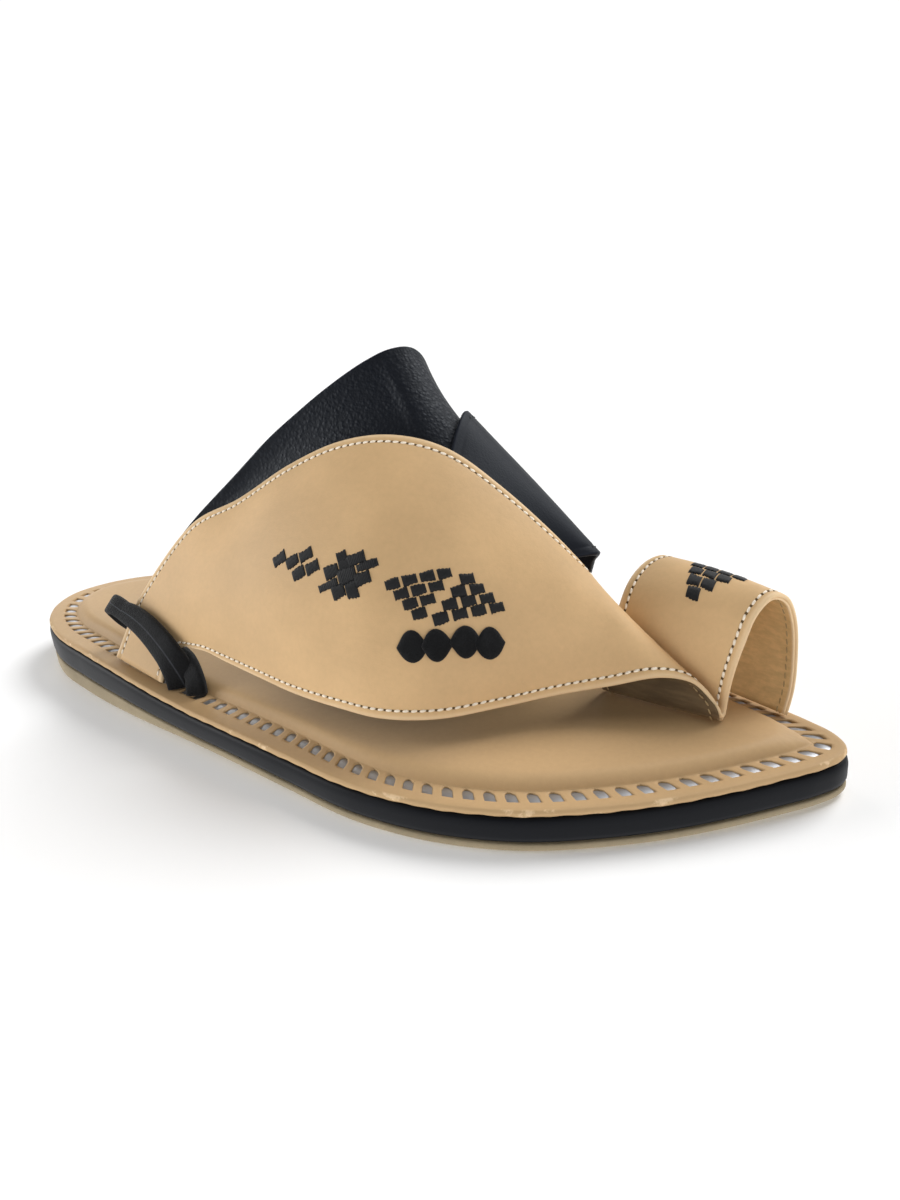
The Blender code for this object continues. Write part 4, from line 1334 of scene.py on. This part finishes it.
class SANDAL_OT_seams(bpy.types.Operator):
    """Pale seams along both edges of the tan band, inside and outside, and black seams on the strap"""

    bl_idname = "sandal.seams"
    bl_label = "Seams"

    def execute(self, context):
        sizes = context.scene.sandal_sizes
        pitch, wide, away = sizes.stitch_pitch / MM, sizes.thread_width / MM, sizes.stitch_inset / MM
        vamp, strap = vamp_rows(), strap_rows()
        shells = []
        for front in (False, True):
            for inside in (False, True):
                height = 0.5 * VAMP_THICK + STITCH_STAND - (0.0 if inside else VAMP_PRESS)
                line = seam(vamp, 0.15, len(vamp) - 1.1, away, front, height, inside, sizes)
                thread = wide * (INNER_THREAD if inside else 1.0)
                points, faces = beads(*line, STITCH_LONG * pitch, thread, 0.8 * thread, STITCH_SLANT)
                shells.append({"points": points, "faces": faces, "kind": 2 if inside else 0})
                if not inside:
                    # A dark sunk piece between each pair of stitches stands for the needle hole's shade:
                    # painted shade.
                    spot, ahead, up = line
                    spot = spot + ahead * 0.5 * pitch - up * HOLE_SINK
                    size = (HOLE_LONG * pitch, HOLE_WIDE * wide, HOLE_HIGH)
                    points, faces = beads(spot, ahead, up, *size, STITCH_SLANT)
                    shells.append({"points": points, "faces": faces, "kind": 1})
        finishes = [finish_of(maker) for maker in (pale_thread, needle_hole_shade, shaded_lining_thread)]
        put("pale_seams", shells, finishes, "upper")
        shells = []
        for front in (False, True):
            height = 0.5 * STRAP_THICK - STRAP_THREAD_SINK
            line = seam(strap, 2.0, len(strap) - 1.15, away, front, height, False, sizes)
            points, faces = beads(*line, 0.66 * pitch, 0.9 * wide, 0.7 * wide, 0.1)
            shells.append({"points": points, "faces": faces})
        put("black_seams", shells, [finish_of(dark_thread)], "instep_strap")
        return {"FINISHED"}


def on_leather(rows, at, share, along, across):
    """Points of the tan band's outer face at offsets in mm along and across from given places."""
    step, over, _ = slopes(rows, at, share)
    place = at[:, None, None] + along / np.linalg.norm(step, axis=1)[:, None, None]
    part = share[:, None, None] + across / np.linalg.norm(over, axis=1)[:, None, None]
    normal = slopes(rows, place, part)[2]
    return band(rows, place, part) + normal * 0.5 * VAMP_THICK, normal


def pillow(spot, normal, lift, sink):
    """Closed pads: for each, a top grid lifted along the normal and a bottom grid sunk, joined at the rim."""
    top = spot + normal * lift[..., None]
    low = spot - normal * (sink * (lift > 0.0))[..., None]
    grid = np.concatenate([top, low[:, :, ::-1]], axis=2)
    count, rows, cols = grid.shape[:3]
    return grid, repeated(quads(rows, cols, True), rows * cols, count)


class SANDAL_OT_embroidery(bpy.types.Operator):
    """Black satin-stitch blocks in stepped triangles and a star on the vamp and the toe loop"""

    bl_idname = "sandal.embroidery"
    bl_label = "Embroidery"

    def execute(self, context):
        sizes = context.scene.sandal_sizes
        rows = vamp_rows()
        wide, high = sizes.block_width / MM, sizes.block_height / MM
        table = [(*STAR_MIDDLE, *block) for block in STAR]
        for at, share, column, row, counts, size in MOTIFS:
            for i, count in enumerate(counts):
                for j in range(count):
                    along, across = (column[k] * j + row[k] * i for k in (0, 1))
                    table.append((at, share, along, across, wide * size[0], high * size[1]))
        at, share, *blocks = np.asarray(table).T
        along, across, wide, high = (part[:, None, None] for part in blocks)
        block = np.arange(len(at))[:, None, None]
        p = np.linspace(-1.0, 1.0, 4 * BLOCK_THREADS + 1)[None, :, None]
        q = np.linspace(-1.0, 1.0, BLOCK_POINTS)[None, None, :]
        thread = 0.5 * BLOCK_THREADS * (p + 1.0)
        number = np.floor(thread)
        ragged = 1.0 + 0.10 * np.sin(12.9898 * number + 78.233 * block)
        ragged = ragged + 0.07 * np.sin(4.1 * number + 1.7 * block)
        x = 0.5 * p * wide + 0.0 * q
        y = 0.5 * q * high * ragged
        on_loop = at[:, None, None, None, None] > LOOP_START
        weave = np.where(on_loop, np.asarray(LOOP_WEAVE), np.asarray(VAMP_WEAVE))
        u, w = (weave[..., 0, k] * x + weave[..., 1, k] * y for k in (0, 1))
        spot, normal = on_leather(rows, at, share, u + along, w + across)
        round_off = np.clip(1.0 - p ** 8, 0.0, 1.0) ** 0.5 * np.clip(1.0 - q ** 4, 0.0, 1.0) ** 0.5
        ridge = np.abs(np.sin(np.pi * thread)) + 0.0 * q + 0.0 * ragged
        lift = sizes.block_rise / MM * round_off * (0.72 + 0.28 * ridge)
        grid, faces = pillow(spot, normal, lift, BLOCK_SINK)
        # The ridge values also go to the finish, which paints the crests lighter as painted highlight.
        both = np.concatenate([ridge, ridge[:, :, ::-1]], axis=2)
        shell = {"points": grid, "faces": faces, "values": {"ridge": both}}
        put("black_embroidery", [shell], [finish_of(embroidery_thread)], "upper")
        return {"FINISHED"}


class SANDAL_OT_diamonds(bpy.types.Operator):
    """Four padded suede diamonds under the embroidery, each lapping over the one before"""

    bl_idname = "sandal.diamonds"
    bl_label = "Suede diamonds"

    def execute(self, context):
        sizes = context.scene.sandal_sizes
        at, share = np.asarray(PATCHES).T
        half, thick = sizes.patch_reach / MM, sizes.patch_rise / MM
        count, rings, sides = len(PATCHES), 12, 40
        number = np.arange(count)[:, None, None]
        r = np.sin(np.linspace(0.0, 0.5 * np.pi, rings))[None, :, None]
        a = np.linspace(0.0, 2.0 * np.pi, sides + 1)[None, None, :-1]
        c, s = np.cos(a), np.sin(a)
        power = 1.45 - 0.22 * np.cos(2.0 * a)
        reach = (np.abs(c) ** power + np.abs(s) ** power) ** (-1.0 / power)
        size = half * reach * (1.0 + 0.025 * np.sin(3.0 * a + 1.9 * number))
        x, y = r * size * c, r * size * s
        spot, normal = on_leather(vamp_rows(), at, share, 0.98 * x + 0.1 * y, y - 0.12 * x)
        dome = np.clip(1.0 - r ** 6, 0.0, 1.0) ** 0.5
        lap = 0.75 * thick * np.clip(-x / half, 0.0, 1.0) * (number > 0)
        top = spot + normal * (thick * dome + lap)[..., None]
        skirt = spot[:, -1:] - normal[:, -1:] * PATCH_SINK
        middle = np.repeat(spot[:, :1, :1], sides, axis=2) - normal[:, :1] * PATCH_SINK
        grid = np.concatenate([top, skirt, middle], axis=1)
        faces = repeated(quads(rings + 2, sides, True), (rings + 2) * sides, count)
        shell = {"points": grid, "faces": faces, "values": {"edge": np.zeros(grid[..., 0].size)}}
        patches = put("suede_diamonds", [shell], [finish_of(black_suede)], "upper")
        return {"FINISHED"}


STEPS = (
    SANDAL_OT_stage,
    SANDAL_OT_sole,
    SANDAL_OT_footbed,
    SANDAL_OT_upper,
    SANDAL_OT_straps,
    SANDAL_OT_seams,
    SANDAL_OT_embroidery,
    SANDAL_OT_diamonds,
)


class SANDAL_PT_panel(bpy.types.Panel):
    """Sizes, colours and steps of the sandal"""

    bl_idname = "SANDAL_PT_panel"
    bl_label = "Arabic sandal"
    bl_space_type = "VIEW_3D"
    bl_region_type = "UI"
    bl_category = "Sandal"

    def draw(self, context):
        for group in (context.scene.sandal_sizes, context.scene.sandal_colours):
            box = self.layout.box()
            for key in group.__annotations__:
                box.prop(group, key)
        for step in STEPS:
            self.layout.operator(step.bl_idname)


CLASSES = (SandalSizes, SandalColours, *STEPS, SANDAL_PT_panel)


def register():
    """Registers the classes and hangs the settings on the scene."""
    for item in CLASSES:
        bpy.utils.register_class(item)
    bpy.types.Scene.sandal_sizes = PointerProperty(type=SandalSizes)
    bpy.types.Scene.sandal_colours = PointerProperty(type=SandalColours)


def unregister():
    """Removes the settings and the classes."""
    del bpy.types.Scene.sandal_colours, bpy.types.Scene.sandal_sizes
    for item in reversed(CLASSES):
        bpy.utils.unregister_class(item)


def main():
    """Registers the add-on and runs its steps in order."""
    register()
    for step in STEPS:
        area, name = step.bl_idname.split(".")
        getattr(getattr(bpy.ops, area), name)()


if __name__ == "__main__":
    main()
